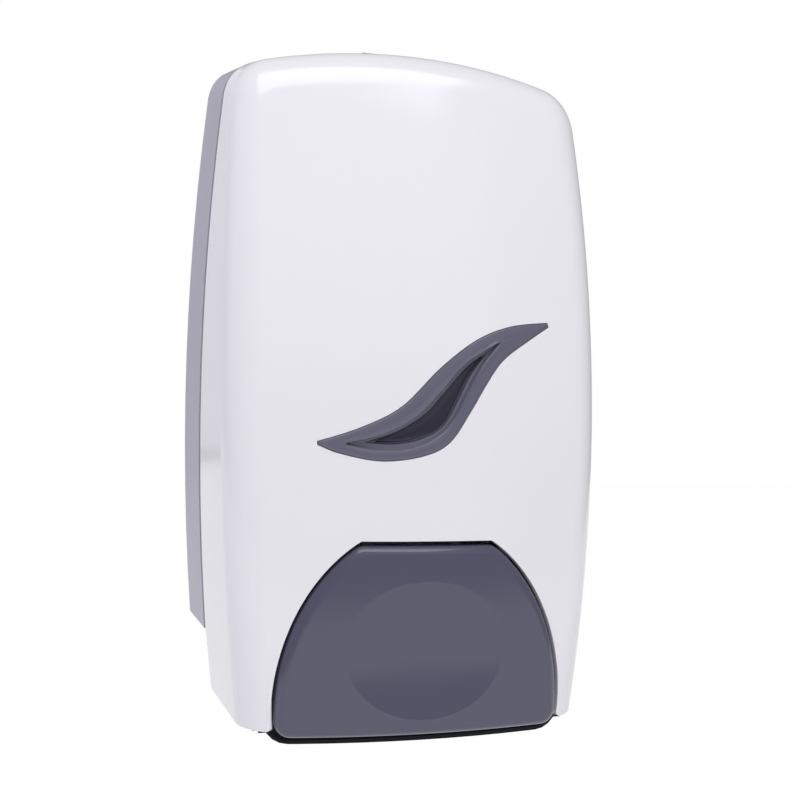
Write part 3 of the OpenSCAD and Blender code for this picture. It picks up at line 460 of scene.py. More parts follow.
def noise(tree, place, scale, detail):
    """Noise from 0 to 1."""
    return add_node(tree, "TexNoise", {"Vector": place, "Scale": scale, "Detail": detail}).outputs["Fac"]


def skin_group(name, numbers):
    """A node group from a colour and some numbers to a colour, a roughness and a height."""
    group = bpy.data.node_groups.new(name, "ShaderNodeTree")
    sockets = [("Colour", "INPUT", "NodeSocketColor"), ("Colour", "OUTPUT", "NodeSocketColor")]
    sockets += [(label, "INPUT", "NodeSocketFloat") for label in numbers]
    sockets += [(label, "OUTPUT", "NodeSocketFloat") for label in ("Roughness", "Height")]
    for label, way, kind in sockets:
        group.interface.new_socket(name=label, in_out=way, socket_type=kind)
    given = group.nodes.new("NodeGroupInput").outputs
    place = add_node(group, "TexCoord").outputs["Object"]
    return group, given, place


def give(group, tone, roughness, height):
    """Sends a group's results out."""
    out = group.nodes.new("NodeGroupOutput")
    feed(group, out, {"Colour": tone, "Roughness": roughness, "Height": height})
    return group


def mould_group(name):
    """Moulded plastic: a slow drift of tint, patchy gloss and a fine skin."""
    group, given, place = skin_group(name, ("Drift", "Roughness", "Patchiness", "Skin Scale"))
    darkest = multiply_add(group, given["Drift"], -0.5, 1.0)
    share = multiply_add(group, noise(group, place, scale=9.0, detail=2.0), given["Drift"], darkest)
    patches = noise(group, place, scale=34.0, detail=4.0)
    gloss = multiply_add(group, patches, given["Patchiness"], given["Roughness"])
    skin = noise(group, place, given["Skin Scale"], detail=3.0)
    return give(group, scaled(group, given["Colour"], share), gloss, skin)


def steel_group(name):
    """Plated or drawn steel: fine turning lines and a grey drift."""
    group, given, place = skin_group(name, ("Roughness", "Line Scale"))
    lines = noise(group, place, given["Line Scale"], detail=3.0)
    share = multiply_add(group, noise(group, place, scale=60.0, detail=2.0), 0.2, 0.9)
    gloss = multiply_add(group, lines, 0.16, given["Roughness"])
    return give(group, scaled(group, given["Colour"], share), gloss, lines)


GROUPS = {"moulded_skin": mould_group, "turned_steel": steel_group}


def surface(name, group, tone, values, skin_depth, sockets):
    """A material whose colour, gloss and skin come from a shared group."""
    if name in bpy.data.materials:
        return bpy.data.materials[name]
    material = bpy.data.materials.new(name)
    material.diffuse_color = (*tone, 1.0)
    material.use_nodes = True
    tree = material.node_tree
    skin = tree.nodes.new("ShaderNodeGroup")
    skin.node_tree = bpy.data.node_groups.get(group) or GROUPS[group](group)
    feed(tree, skin, {"Colour": (*tone, 1.0), **values})
    relief = {"Strength": 0.35, "Distance": skin_depth, "Height": skin.outputs["Height"]}
    results = {
        "Base Color": skin.outputs["Colour"],
        "Roughness": skin.outputs["Roughness"],
        "Normal": add_node(tree, "Bump", relief).outputs["Normal"],
    }
    feed(tree, tree.nodes["Principled BSDF"], {**results, **sockets})
    return material


def plastic(name, tone=None, clearness=0.0):
    """A moulded plastic, in a given tone or in its own."""
    tone = INNER_TONES[name] if tone is None else tone
    drift, roughness, patchiness, skin_scale, skin_depth, ior = PLASTICS[name]
    values = {"Drift": drift, "Roughness": roughness, "Patchiness": patchiness, "Skin Scale": skin_scale}
    sockets = {"IOR": ior, "Transmission Weight": clearness}
    return surface(name, "moulded_skin", tone, values, skin_depth * MICRON, sockets)


def steel(name, tone, roughness):
    """A bare or plated steel."""
    values = {"Roughness": roughness, "Line Scale": 1800.0}
    return surface(name, "turned_steel", tone, values, 6 * MICRON, {"Metallic": 1.0})


# ---------- Shared by the pieces ----------

SCREW_BORE = 1.42


class Piece:
    """Gives the operators their sizes and colours."""

    bl_options = {"REGISTER", "UNDO"}

    @property
    def sizes(self):
        return bpy.context.scene.dispenser_sizes

    @property
    def colours(self):
        return bpy.context.scene.dispenser_colours


# ---------- Front cover ----------

# Stations inwards from the rear edge: millimetres along the flank, shares of the flank's rest, then steps.
REAR_DEPTHS = [0, 0.9, 1.8, 2.8, 3.8, 4.6]
FLANK_SHARES = [0.3, 0.5, 0.7, 0.88]
ROLL_STEPS = 14
FACE_STEPS = 30


def cover_sides(s, edge):
    """Stations up the cover's side, as (share of the way to the corner, height), spread from the edge's."""
    shoulder = 66 * MM
    span = s.well_top - s.cover_low
    spread = (shoulder - s.cover_low - span) / span**3
    heights = [p.y + spread * (p.y - s.cover_low) ** 3 for p in edge[: SIDE_STEPS + 1]]
    side = [(0.0, height) for height in heights]
    for i in range(1, SHOULDER_STEPS + 1):
        side.append((i / SHOULDER_STEPS, shoulder))
    return side


def way_in(s, p, n, q):
    """Direction from the outline into the face: square to the edge, and level near the foot."""
    foot_top, foot_fade, level_height = -90 * MM, 14 * MM, 40 * MM
    near_foot = min(1.0, max(0.0, (foot_top - q.y) / foot_fade))
    inward = (-n * (1 - near_foot) + (q - p).normalized() * near_foot).normalized()
    level = max(0.0, 1 - (p.y - s.cover_low) / level_height)
    return Vector((inward.x, inward.y * (1 - level))).normalized()


def level_foot(s, place, p):
    """Keeps the outline's lowest points at their height."""
    if p.y - s.cover_low < 0.5 * MM:
        place.y = p.y
    return place


def rolled_edge(s, p, n, q):
    """Points round the rolled edge, from the flank to the face."""
    roll = s.edge_roll
    inward = way_in(s, p, n, q)
    least_face = 1.2 * MM
    room = (q - p).length - least_face
    last_angle = math.acos(max(0.0, 1 - min(roll, room) / roll))
    points = []
    for i in range(ROLL_STEPS + 1):
        angle = last_angle * (i / ROLL_STEPS)
        amount = roll * (1 - math.cos(angle))
        place = p + inward * amount
        depth = face_at(s, place.x, place.y) - roll * (1 - math.sin(angle))
        place = level_foot(s, place + n * growth(s, n, depth) * math.cos(angle), p)
        points.append(Vector((place.x, -depth, place.y)))
    return points


def cover_column(s, front, rear, q):
    """Points from the cover's rear edge along its flank, round its rolled edge and over its face."""
    rolled = rolled_edge(s, *front, q)
    p, n = rear
    place = level_foot(s, p + n * growth(s, n, s.cover_rear), p)
    back = Vector((place.x, -s.cover_rear, place.y))
    flank = back.y - rolled[0].y
    shares = [depth * MM / flank for depth in REAR_DEPTHS]
    shares += [shares[-1] + (1 - shares[-1]) * share for share in FLANK_SHARES]
    column = [back.lerp(rolled[0], share) for share in shares] + rolled
    end = Vector((rolled[-1].x, rolled[-1].z))
    for i in range(1, FACE_STEPS + 1):
        place = end.lerp(q, i / FACE_STEPS)
        column.append(Vector((place.x, -face_at(s, place.x, place.y), place.y)))
    for point in column:
        point.z += leg_lift(s, -point.y, point.z, abs(point.x) - s.well_half_width)
    return column


def leg_lift(s, depth, z, from_opening):
    """Rise of the leg's bottom edge towards its rounded rear corner and its eased inner corner."""
    inner_corner = 1.8 * MM
    rise = 0.0
    for radius, distance in ((s.leg_corner, depth - s.cover_rear), (inner_corner, from_opening + 0.3 * MM)):
        back = min(radius, max(0.0, radius - distance))
        rise += radius - math.sqrt(radius**2 - back**2)
    fade_height = 20 * MM
    return rise * max(0.0, 1 - (z - s.cover_low) / fade_height)


def cover_skin(s):
    """Columns of points over the cover's right half, from its rear edge to the opening's edge."""
    edge = well_edge_half(s)
    side = cover_sides(s, edge)
    front = outline_half(s, s.corner_front, side)
    rear = outline_half(s, corner_at(s, s.cover_rear), side)
    return [cover_column(s, here, behind, q) for here, behind, q in zip(front, rear, edge)]


def both_halves(columns):
    """Mirrors the right half's columns and returns rows that run from the right foot to the left."""
    whole = columns + [[Vector((-p.x, p.y, p.z)) for p in c] for c in reversed(columns[:-1])]
    return [[c[i] for c in whole] for i in range(len(whole[0]))]


class DISPENSER_OT_front_cover(Piece, bpy.types.Operator):
    """Builds the gloss white cover with its rolled edges, its opening and its window"""

    bl_idname = "dispenser.front_cover"
    bl_label = "Front cover"

    def execute(self, context):
        s = self.sizes
        cover = grid_piece("cover_skin", both_halves(cover_skin(s)))
        add_modifier(cover, "SOLIDIFY", thickness=s.cover_wall, offset=-1.0)
        soften_edges(cover, 0.45 * MM, angle=50, segments=3)
        window = offset_loop(leaf_loops()[0], 0.22 * MM)
        cut(cover, prism("window_hole", window, (40 * MM, 100 * MM)))
        join(cover, cover_bosses(s))
        smooth(cover, 34)
        gloss = plastic("cover_gloss_white", self.colours.cover_white)
        finish_piece(cover, "cover_shell", "cover", "front_cover", gloss)
        return {"FINISHED"}


def cover_bosses(s):
    """The hinge eyes, the screw bosses and the catch tongue inside the cover."""
    parts = []
    hinge = (-s.cover_rear - 6.6 * MM, s.cover_low + 10 * MM)
    screw_x, screw_z = 40 * MM, -41 * MM
    seat = face_at(s, screw_x, screw_z) - 6.3 * MM
    for side in (-1, 1):
        eye = x_cylinder(6, side, (54.3, 59.4), *hinge)
        parts.append(cut(eye, x_cylinder(2.02, side, (50, 57.5), *hinge)))
        boss = y_cylinder(3.6, side * screw_x, screw_z, seat, (0.2, 5.2))
        parts.append(cut(boss, y_cylinder(SCREW_BORE, side * screw_x, screw_z, seat, (-1, 3.8))))
    top = s.arch_top / MM - 2.3
    tongue = block((-8, 8), (-38.4, -15), (top - 2.5, top))
    catch = block((-4.4, 4.4), (-23.6, -17.6), (top - 4, top + 2))
    root = block((-8, 8), (-38.4, -30.4), (top - 2.5, top + 4.6))
    for part in (cut(tongue, catch), root):
        soften_edges(part, 0.25 * MM)
        parts.append(part)
    return parts


# ---------- Window: three leaves that share their stations ----------

# Edges of the bezel, its recess and the lens, in millimetres, from the left tip to the right.
BEZEL_LOW = [(-36.5, -22.3), (-29.2, -24.9), (-16, -27), (-2.5, -25.3), (6.9, -20.8), (14.6, -10.2),
             (20.5, -1.0), (26.8, 6.9), (37.6, 14.3), (44.1, 18.3)]
BEZEL_HIGH = [(-36.6, -21.4), (-23, -16.8), (-9.4, -9.8), (4.2, 3.3), (16.9, 12.7), (29.6, 17.7),
              (43.8, 19.6)]
RECESS_LOW = [(-27.4, -22.1), (-17.5, -23.5), (-7.2, -22.9), (2.2, -19.2), (8.3, -13.3), (13.5, -4.1),
              (18.7, 4.5), (24.9, 11.7)]
RECESS_HIGH = [(-27.4, -21.6), (-15.4, -18.6), (-4.1, -12.5), (4.7, -3.8), (12.8, 4.9), (24.9, 12.2)]
LENS_LOW = [(-17.6, -21.1), (-8.5, -20.9), (0.2, -18.3), (5.6, -14.5), (9.8, -7.2), (13.9, 0.5), (19.2, 7.4)]
LENS_HIGH = [(-17.6, -21), (-8.2, -17.1), (0, -11.7), (7.2, -3.9), (13.5, 3.1), (19.2, 7.5)]
LEAF_STEPS = 70
CURVE_STEPS = 24
LONGEST_MITRE = 1.25


def spline(p0, p1, p2, p3, t):
    """A point between p1 and p2 on a smooth curve through four points."""
    bend = 2 * p0 - 5 * p1 + 4 * p2 - p3
    twist = 3 * p1 - p0 - 3 * p2 + p3
    return 0.5 * (2 * p1 + (p2 - p0) * t + bend * t * t + twist * t**3)


def curve_through(points):
    """Evenly spaced stations on a smooth curve through a few points in millimetres."""
    points = [Vector(p) * MM for p in points]
    last = len(points) - 1
    dense = []
    for i in range(last):
        around = points[max(0, i - 1)], points[i], points[i + 1], points[min(last, i + 2)]
        dense += [spline(*around, k / CURVE_STEPS) for k in range(CURVE_STEPS)]
    dense.append(points[-1])
    travelled = [0.0]
    for a, b in zip(dense, dense[1:]):
        travelled.append(travelled[-1] + (b - a).length)
    stations = []
    j = 0
    for i in range(LEAF_STEPS + 1):
        wanted = travelled[-1] * i / LEAF_STEPS
        while j < len(dense) - 2 and travelled[j + 1] < wanted:
            j += 1
        share = (wanted - travelled[j]) / (travelled[j + 1] - travelled[j])
        stations.append(dense[j].lerp(dense[j + 1], min(1.0, share)))
    return stations


def leaf_loops():
    """Closed loops of the bezel, the recess and the lens, with matching stations."""
    loops = []
    for low, high in ((BEZEL_LOW, BEZEL_HIGH), (RECESS_LOW, RECESS_HIGH), (LENS_LOW, LENS_HIGH)):
        loops.append(curve_through(low) + curve_through(high)[::-1])
    return loops


def offset_loop(loop, amount):
    """A closed loop moved outwards, with short mitres at its tips."""
    moved = []
    for i, here in enumerate(loop):
        before, after = loop[i - 1], loop[(i + 1) % len(loop)]
        u = (here - before).normalized()
        v = (after - here).normalized()
        mitre = Vector((u.y + v.y, -u.x - v.x))
        reach = max(mitre.length, 2 / LONGEST_MITRE)
        moved.append(here + mitre.normalized() * amount * (2 / reach))
    return moved


def on_face(s, loop, proud):
    """Lays a loop on the cover's face, a distance in front of it."""
    return [Vector((p.x, -face_at(s, p.x, p.y) - proud, p.y)) for p in loop]


def between(a, b, share):
    """A loop between two loops with the same stations."""
    return [p.lerp(q, share) for p, q in zip(a, b)]


def bezel_section(s):
    """Loops of the bezel with their heights over the cover, from its rear flange to the lens's hole."""
    outer, recess, lens = leaf_loops()
    proud, floor = s.bezel_proud, -s.recess_depth
    ledge = floor * 0.52
    back = -s.cover_wall - 1.4 * MM
    seat = back + 1.2 * MM
    bead = proud + 0.05 * MM
    flange = offset_loop(outer, 1.4 * MM)
    lip = offset_loop(outer, -0.4 * MM)
    brink = offset_loop(recess, 0.95 * MM)
    step = between(recess, lens, 0.62)
    hole = offset_loop(lens, 0.1 * MM)
    return [
        (flange, back),
        (flange, seat),
        (outer, seat),
        (outer, -0.1 * MM),
        (offset_loop(outer, -0.12 * MM), proud - 0.1 * MM),
        (lip, proud),
        (between(lip, brink, 0.33), bead),
        (between(lip, brink, 0.66), bead),
        (brink, bead),
        (offset_loop(recess, 0.6 * MM), proud + 0.25 * MM),
        (offset_loop(recess, 0.4 * MM), proud + 0.28 * MM),
        (offset_loop(recess, 0.05 * MM), proud),
        (offset_loop(recess, -0.05 * MM), proud - 0.5 * MM),
        (offset_loop(recess, -0.45 * MM), ledge),
        (step, ledge - 0.1 * MM),
        (between(step, hole, 0.25), floor + 0.15 * MM),
        (between(step, hole, 0.4), floor),
        (between(step, hole, 0.7), floor + 0.45 * MM),
        (hole, floor + 0.1 * MM),
        (hole, back),
    ]


class DISPENSER_OT_window_bezel(Piece, bpy.types.Operator):
    """Builds the dark leaf-shaped bezel with its stepped recess"""

    bl_idname = "dispenser.window_bezel"
    bl_label = "Window bezel"

    def execute(self, context):
        s = self.sizes
        rows = [on_face(s, loop, height) for loop, height in bezel_section(s)]
        bezel = grid_piece("bezel_skin", rows, closed_rows=True, closed_columns=True)
        smooth(bezel, 40)
        satin = plastic("bezel_satin_grey", self.colours.bezel_grey)
        finish_piece(bezel, "bezel_ring", "cover", "window_bezel", satin)
        return {"FINISHED"}


class DISPENSER_OT_window_lens(Piece, bpy.types.Operator):
    """Builds the smoked lens with its gently domed face"""

    bl_idname = "dispenser.window_lens"
    bl_label = "Window lens"

    def execute(self, context):
        s = self.sizes
        lower, upper = curve_through(LENS_LOW), curve_through(LENS_HIGH)
        rim, dome = -s.recess_depth - 0.35 * MM, 0.25 * MM
        steps_across = 16
        rows = []
        for i in range(steps_across + 1):
            share = i / steps_across
            height = rim + dome * 4 * share * (1 - share)
            rows.append(on_face(s, between(lower, upper, share), height))
        lens = grid_piece("lens_skin", rows)
        add_modifier(lens, "SOLIDIFY", thickness=2.4 * MM, offset=-1.0)
        tidy(lens)
        smooth(lens, 40)
        smoked = plastic("lens_smoked", self.colours.lens_smoke)
        finish_piece(lens, "lens_window", "cover", "window_lens", smoked)
        return {"FINISHED"}


# ---------- Push bar ----------

# Stations along the right half of the push bar's outline, then over its edge and its face.
FOOT_STEPS = 14
LOW_CORNER_STEPS = 8
BOW_STEPS = 46
KNEE_STEPS = 8
TOP_STEPS = 12
BAR_ROLL_STEPS = 10
BAR_FACE_STEPS = 15
# Rings over the dished oval, as shares of its size.
DISH_SHARES = [1.0, 0.985, 0.965, 0.94, 0.9, 0.85, 0.79, 0.72, 0.64, 0.55, 0.45, 0.35, 0.24, 0.12, 0.0]


def dish_at(s, x, z):
    """Depth of the dished oval below the push bar's face."""
    r = math.hypot(x / s.dish_half_width, (z - s.dish_z) / s.dish_half_height)
    if r >= 1.0:
        return 0.0
    return s.dish_depth * (1 - r * r)


def bar_face_at(s, x, z):
    """Distance of the push bar's face from the wall; its foot stands out the most."""
    share = (s.well_top - z) / (s.well_top - s.well_foot)
    return face_at(s, x, z) + s.bar_head_stand + (s.bar_stand - s.bar_head_stand) * share


def top_knee(a, b, end, radius):
    """Rounding between the bowed side and the flat top: the side's last angle, the turn and the reach."""
    side_way = Vector((a * math.sin(end), -b * math.cos(end))).normalized()
    turn = math.pi / 2 - abs(math.atan2(-side_way.x, -side_way.y))
    cut_back = radius * math.tan(turn / 2)
    last = end - cut_back / math.hypot(a * math.sin(end), b * math.cos(end))
    return last, turn, a * math.cos(end) - cut_back


def bar_path(s, inset):
    """The push bar's outline drawn in by a distance, with the same stations for every distance."""
    gap = s.bar_gap + inset
    a, b = s.well_half_width - gap, s.well_rise - gap
    foot, top = s.well_foot + gap + s.foot_room, s.well_top - gap - s.head_room
    corner = max(0.6 * MM, s.well_corner - gap)
    # The upper corners are rounder at the bar's edge than on its face.
    knee = max(2.5 * MM, 5.5 * MM - inset * 0.5)
    last, turn, flat = top_knee(a, b, math.asin((top - s.well_z) / b), knee)
    half = [Vector(((a - corner) * i / FOOT_STEPS, foot)) for i in range(FOOT_STEPS)]
    for i in range(LOW_CORNER_STEPS):
        way = polar(math.pi / 2 * (i / LOW_CORNER_STEPS - 1))
        half.append(Vector((a - corner, foot + corner)) + way * corner)
    for i in range(BOW_STEPS):
        t = last * i / BOW_STEPS
        half.append(Vector((a * math.cos(t), s.well_z + b * math.sin(t))))
    for i in range(KNEE_STEPS + 1):
        way = polar(math.pi / 2 - turn * (1 - i / KNEE_STEPS))
        half.append(Vector((flat, top - knee)) + way * knee)
    for i in range(1, TOP_STEPS + 1):
        half.append(Vector((flat * (1 - i / TOP_STEPS), top)))
    return half + [Vector((-p.x, p.y)) for p in reversed(half[1:-1])]


def bar_rows(s):
    """Rings of points over the push bar, from its skirt's rear edge to the middle of its dish."""
    roll = s.bar_roll

    def ring(points, sunk):
        return [Vector((p.x, sunk + dish_at(s, p.x, p.y) - bar_face_at(s, p.x, p.y), p.y)) for p in points]

    skirt_depths = (s.bar_skirt, s.bar_skirt - 1 * MM, (s.bar_skirt + roll) / 2)
    rows = [ring(bar_path(s, 0.0), depth) for depth in skirt_depths]
    for i in range(BAR_ROLL_STEPS + 1):
        angle = math.pi / 2 * i / BAR_ROLL_STEPS
        rows.append(ring(bar_path(s, roll * (1 - math.cos(angle))), roll * (1 - math.sin(angle))))
    face_edge = bar_path(s, roll)
    centre = Vector((0.0, s.dish_z))
    oval = []
    for p in face_edge:
        way = polar(math.atan2((p.y - s.dish_z) / s.dish_half_height, p.x / s.dish_half_width))
        oval.append(centre + Vector((s.dish_half_width * way.x, s.dish_half_height * way.y)))
    for i in range(1, BAR_FACE_STEPS):
        rows.append(ring(between(face_edge, oval, i / BAR_FACE_STEPS), 0.0))
    for share in DISH_SHARES:
        rows.append(ring([centre.lerp(q, share) for q in oval], 0.0))
    return rows


class DISPENSER_OT_push_bar(Piece, bpy.types.Operator):
    """Builds the glossy push bar with its rolled edge, dished oval, ears and lifter posts"""

    bl_idname = "dispenser.push_bar"
    bl_label = "Push bar"

    def execute(self, context):
        s = self.sizes
        bar = grid_piece("bar_skin", bar_rows(s), closed_columns=True)
        add_modifier(bar, "SOLIDIFY", thickness=s.bar_wall, offset=-1.0)
        soften_edges(bar, 0.3 * MM, angle=60)
        join(bar, bar_fittings(s))
        smooth(bar, 30)
        gloss = plastic("bar_gloss_grey", self.colours.bar_grey)
        finish_piece(bar, "push_bar_shell", "push", "push_bar", gloss)
        return {"FINISHED"}


def bar_fittings(s):
    """Ears and lifter posts behind the push bar."""
    parts = []
    pivot = (-73.0 * MM, -46.0 * MM)
    # The ear's side view, as millimetres in Y and Z from the pivot.
    ear = [(-3.5, 0), (-5, -6), (-5, -15.5), (-8.4, -18), (-8.4, -28), (-2, -28), (4.4, 0)]
    ear_sides = (26, 30)
    post_x, post_z = 15 * MM, s.dish_z - 1 * MM
    post_rear = 71.5 * MM
    post_length = (bar_face_at(s, post_x, s.dish_z) - post_rear) / MM - 4.2
    for side in (-1, 1):
        outline = [(pivot[0] + y * MM, pivot[1] + z * MM) for y, z in ear]
        rows = [[Vector((side * x * MM, y, z)) for y, z in outline] for x in ear_sides]
        arm = grid_piece("ear_arm", rows, closed_columns=True)
        cap_ends(arm)
        for part in (arm, x_cylinder(4.5, side, ear_sides, *pivot)):
            cut(part, x_cylinder(2.06, side, (24, 32), *pivot))
            soften_edges(part, 0.2 * MM, angle=50)
            parts.append(part)
        post = y_cylinder(3.4, side * post_x, post_z, post_rear, (0, post_length))
        parts.append(cut(post, y_cylinder(SCREW_BORE, side * post_x, post_z, post_rear, (-1, 3.8))))
    return parts


# ---------- Pieces that keep the CAD form ----------


def dress(node, name, body, material, bevel, smooth_angle=35):
    """Dresses a CAD node in its own form, with edges rounded by a bevel in millimetres."""
    obj = copy_node(node, bevel * MM, smooth_angle)
    finish_piece(obj, name, body, node, material)
    return obj


class DISPENSER_OT_wall_unit(Piece, bpy.types.Operator):
    """Dresses the back plate and the pump's bracket"""

    bl_idname = "dispenser.wall_unit"
    bl_label = "Back plate and bracket"

    def execute(self, context):
        satin = plastic("plate_satin_grey", self.colours.plate_grey)
        inner = plastic("bracket_grey")
        dress("back_plate", "plate_tray", "wall_unit", satin, bevel=0.5)
        dress("pump_bracket", "bracket_shelf", "wall_unit", inner, bevel=0.4)
        return {"FINISHED"}


class DISPENSER_OT_refill(Piece, bpy.types.Operator):
    """Dresses the refill bottle with its cap and gasket"""

    bl_idname = "dispenser.refill"
    bl_label = "Refill bottle"

    def execute(self, context):
        milky = plastic("bottle_milky", clearness=0.35)
        dress("refill_bottle", "bottle_shell", "wall_unit", milky, bevel=0.3)
        white = plastic("pump_white")
        dress("retaining_cap", "ribbed_cap", "wall_unit", white, bevel=0.2)
        black = plastic("rubber_black")
        dress("neck_gasket", "gasket_ring", "wall_unit", black, bevel=0.15)
        return {"FINISHED"}


class DISPENSER_OT_pump(Piece, bpy.types.Operator):
    """Dresses the pump's barrel, plug, valve, stem, piston, ring and outlet"""

    bl_idname = "dispenser.pump"
    bl_label = "Pump"

    def execute(self, context):
        white = plastic("pump_white")
        black = plastic("rubber_black")
        dress("pump_barrel", "barrel_tube", "wall_unit", white, bevel=0.2)
        dress("barrel_plug", "barrel_guide", "wall_unit", white, bevel=0.2)
        dress("inlet_valve", "valve_disc", "wall_unit", plastic("rubber_red"), bevel=0.1)
        dress("pump_stem", "stem_tube", "pump", white, bevel=0.25)
        dress("piston", "piston_cup", "pump", plastic("piston_ivory"), bevel=0.15)
        dress("piston_ring", "piston_o_ring", "pump", black, bevel=0)
        dress("outlet_tip", "outlet_nozzle", "pump", black, bevel=0.2)
        return {"FINISHED"}


class DISPENSER_OT_push_frame(Piece, bpy.types.Operator):
    """Dresses the frame, black partly as painted shade in the gaps round the push bar, and the fork that
    lifts the pump
    """

    bl_idname = "dispenser.push_frame"
    bl_label = "Push frame and fork"

    def execute(self, context):
        # Near-black frame: black plastic and painted shade in the gaps round the push bar.
        matt = plastic("frame_black_and_painted_shade", self.colours.frame_black)
        inner = plastic("bracket_grey")
        dress("push_frame", "black_frame", "cover", matt, bevel=0.25)
        dress("lifter_fork", "fork_arms", "push", inner, bevel=0.3)
        return {"FINISHED"}


def dress_spring(node, name):
    """Dresses a coil in spring wire and gives it its own copy of the mesh."""
    wire = steel("spring_wire", (0.48, 0.48, 0.47), 0.2)
    spring = dress(node, name, "wall_unit", wire, bevel=0, smooth_angle=80)
    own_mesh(spring)


class DISPENSER_OT_metalwork(Piece, bpy.types.Operator):
    """Dresses the screws, the pins and the springs"""

    bl_idname = "dispenser.metalwork"
    bl_label = "Screws, pins and springs"

    def execute(self, context):
        plated = steel("screw_plated", (0.60, 0.60, 0.58), 0.24)
        pin = steel("pin_polished", (0.55, 0.55, 0.56), 0.12)
        for place, body in (("bracket", "wall_unit"), ("frame", "cover"), ("lifter", "push")):
            dress(place + "_screws", place + "_screws_set", body, plated, bevel=0.2)
        for place in ("hinge", "pivot"):
            dress(place + "_pins", place + "_pin_pair", "cover", pin, bevel=0.3)
        dress_spring("pump_spring", "return_coil")
        dress_spring("latch_spring", "latch_coil")
        return {"FINISHED"}


class DISPENSER_OT_latch(Piece, bpy.types.Operator):
    """Dresses the latch button on the top"""

    bl_idname = "dispenser.latch"
    bl_label = "Latch button"

    def execute(self, context):
        satin = plastic("plate_satin_grey", self.colours.plate_grey)
        dress("latch_button", "latch_slider", "latch", satin, bevel=0.5)
        return {"FINISHED"}


# ---------- Studio ----------

FLOOR_HEIGHT = -0.42
LAMP_AIM = (0, -0.04, 0.0)

# The camera's place, its turn about the vertical, the slope of its view and its roll.
CAMERA_PLACE = (-0.1229, -0.4445, 0.012)
CAMERA_TURN = math.radians(17.007)
CAMERA_SLOPE = -0.00527
CAMERA_ROLL = math.radians(-2.466)
CAMERA_LENS = {"sensor_width": 36.0, "lens": 53.55, "shift_x": -0.0005, "shift_y": -0.0679}


def either_ray(tree, *kinds):
    """1 for rays of the named kinds, else 0."""
    path = add_node(tree, "LightPath").outputs
    sockets = [path[kind] for kind in kinds]
    return add_node(tree, "Math", dict(enumerate(sockets)), "MAXIMUM").outputs[0]


def room_light(tree, tone, strength):
    """Even light from all round."""
    return add_node(tree, "Background", {"Color": (*tone, 1), "Strength": strength}).outputs[0]


def mixed(tree, share, first, second):
    """Two shaders mixed, with a share of the second."""
    return add_node(tree, "MixShader", {0: share, 1: first, 2: second}).outputs[0]


def white_backdrop(world):
    """A white room to the camera, softer as light on the object and softest in its reflections."""
    world.use_nodes = True
    tree = world.node_tree
    tree.nodes.clear()
    mirrored = either_ray(tree, "Is Glossy Ray", "Is Transmission Ray")
    on_object = room_light(tree, (0.98, 0.97, 1.0), 0.40)
    in_gloss = room_light(tree, (0.96, 0.95, 1.0), 0.22)
    seen = add_node(tree, "LightPath").outputs["Is Camera Ray"]
    around = mixed(tree, mirrored, on_object, in_gloss)
    room = mixed(tree, seen, around, room_light(tree, (1, 1, 1), 1.0))
    add_node(tree, "OutputWorld", {0: room})


def floor_material():
    """Pale floor that reads white and still takes a soft shadow."""
    material = bpy.data.materials.new("studio_floor")
    material.use_nodes = True
    tree = material.node_tree
    tree.nodes.clear()
    matt = add_node(tree, "BsdfDiffuse", {"Color": (0.86, 0.86, 0.87, 1)}).outputs[0]
    glow = add_node(tree, "Emission", {"Color": (1, 1, 1, 1), "Strength": 1.06}).outputs[0]
    seen = either_ray(tree, "Is Camera Ray", "Is Glossy Ray")
    share = add_node(tree, "Math", {0: seen, 1: 0.9}, "MULTIPLY").outputs[0]
    add_node(tree, "OutputMaterial", {0: mixed(tree, share, matt, glow)})
    return material


def area_lamp(name, place, width, height, power, tint=(1, 1, 1), aim=LAMP_AIM, mirrored=True):
    """A soft lamp that faces its aim and may be kept out of reflections."""
    light = bpy.data.lights.new(name, "AREA")
    light.shape = "RECTANGLE"
    light.size = width
    light.size_y = height
    light.energy = power
    light.color = tint
    lamp = bpy.data.objects.new(name, light)
    bpy.context.collection.objects.link(lamp)
    lamp.location = place
    lamp.rotation_euler = (Vector(aim) - Vector(place)).to_track_quat("-Z", "Y").to_euler()
    lamp.visible_glossy = mirrored


def place_camera(scene):
    """Sets the camera on the left, in front of the dispenser."""
    ahead = Vector((math.sin(CAMERA_TURN), math.cos(CAMERA_TURN), CAMERA_SLOPE)).normalized()
    level = ahead.cross(Vector((0, 0, 1))).normalized()
    plumb = level.cross(ahead)
    right = level * math.cos(CAMERA_ROLL) - plumb * math.sin(CAMERA_ROLL)
    up = level * math.sin(CAMERA_ROLL) + plumb * math.cos(CAMERA_ROLL)
    data = bpy.data.cameras.new("main_camera")
    for key, value in CAMERA_LENS.items():
        setattr(data, key, value)
    camera = bpy.data.objects.new("main_camera", data)
    bpy.context.collection.objects.link(camera)
    rows = [(*axes, place) for *axes, place in zip(right, up, -ahead, CAMERA_PLACE)]
    camera.matrix_world = Matrix((*rows, (0, 0, 0, 1)))
    scene.camera = camera


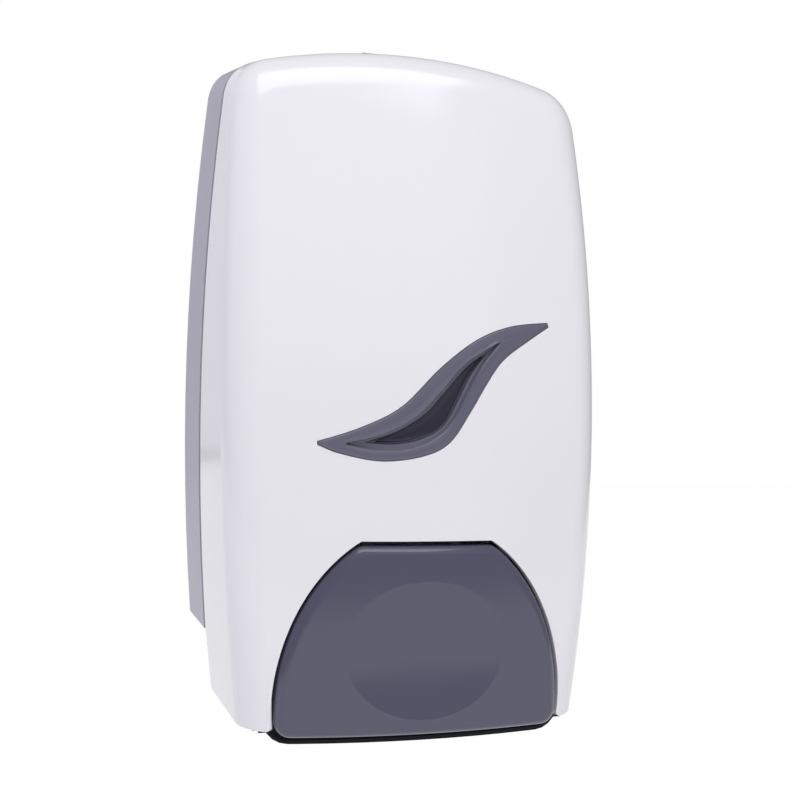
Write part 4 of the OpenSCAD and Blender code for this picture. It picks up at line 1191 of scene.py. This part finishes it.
class DISPENSER_OT_stage(Piece, bpy.types.Operator):
    """Sets the pale floor, the soft lamps and the camera"""

    bl_idname = "dispenser.stage"
    bl_label = "Studio"

    def execute(self, context):
        scene = context.scene
        bpy.ops.mesh.primitive_plane_add(size=6.0, location=(0, 0, FLOOR_HEIGHT))
        floor = context.object
        settle(floor)
        floor.name = "studio_floor"
        floor.data.materials.append(floor_material())
        scene.world = bpy.data.worlds.new("studio_room")
        white_backdrop(scene.world)
        # Each lamp's name and place, then its width, height and power.
        area_lamp("key_lamp", (0.1, -1.05, 0.6), 1.1, 0.6, 0.9)
        area_lamp("top_lamp", (-0.06, -0.42, 0.95), 1.0, 0.62, 6.0)
        area_lamp("back_panel", (-0.6, 1.1, 0.29), 1.0, 0.98, 1.7, tint=(0.95, 0.94, 1.0))
        area_lamp("left_fill", (-1.25, 0.1, 0.12), 1.2, 1.5, 5.2, tint=(0.94, 0.93, 1.0), mirrored=False)
        area_lamp("front_fill", (0.2, -1.15, -0.42), 1.2, 1.0, 8.9, aim=(0, -0.04, -0.03), mirrored=False)
        place_camera(scene)
        scene.view_settings.view_transform = "Standard"
        return {"FINISHED"}


# ---------- Panel and registration ----------

STEPS = (
    DISPENSER_OT_front_cover,
    DISPENSER_OT_window_bezel,
    DISPENSER_OT_window_lens,
    DISPENSER_OT_push_bar,
    DISPENSER_OT_wall_unit,
    DISPENSER_OT_refill,
    DISPENSER_OT_pump,
    DISPENSER_OT_push_frame,
    DISPENSER_OT_metalwork,
    DISPENSER_OT_latch,
    DISPENSER_OT_stage,
)


class DISPENSER_PT_panel(bpy.types.Panel):
    """Lists the steps that dress the dispenser"""

    bl_idname = "DISPENSER_PT_panel"
    bl_label = "Dispenser"
    bl_space_type = "VIEW_3D"
    bl_region_type = "UI"
    bl_category = "Dispenser"

    def draw(self, context):
        for step in STEPS:
            self.layout.operator(step.bl_idname, text=step.bl_label)


CLASSES = (DispenserSizes, DispenserColours, *STEPS, DISPENSER_PT_panel)


def register():
    for cls in CLASSES:
        bpy.utils.register_class(cls)
    bpy.types.Scene.dispenser_sizes = bpy.props.PointerProperty(type=DispenserSizes)
    bpy.types.Scene.dispenser_colours = bpy.props.PointerProperty(type=DispenserColours)


def unregister():
    del bpy.types.Scene.dispenser_colours
    del bpy.types.Scene.dispenser_sizes
    for cls in reversed(CLASSES):
        bpy.utils.unregister_class(cls)


def main():
    register()
    for step in STEPS:
        area, verb = step.bl_idname.split(".")
        getattr(getattr(bpy.ops, area), verb)()


if __name__ == "__main__":
    main()
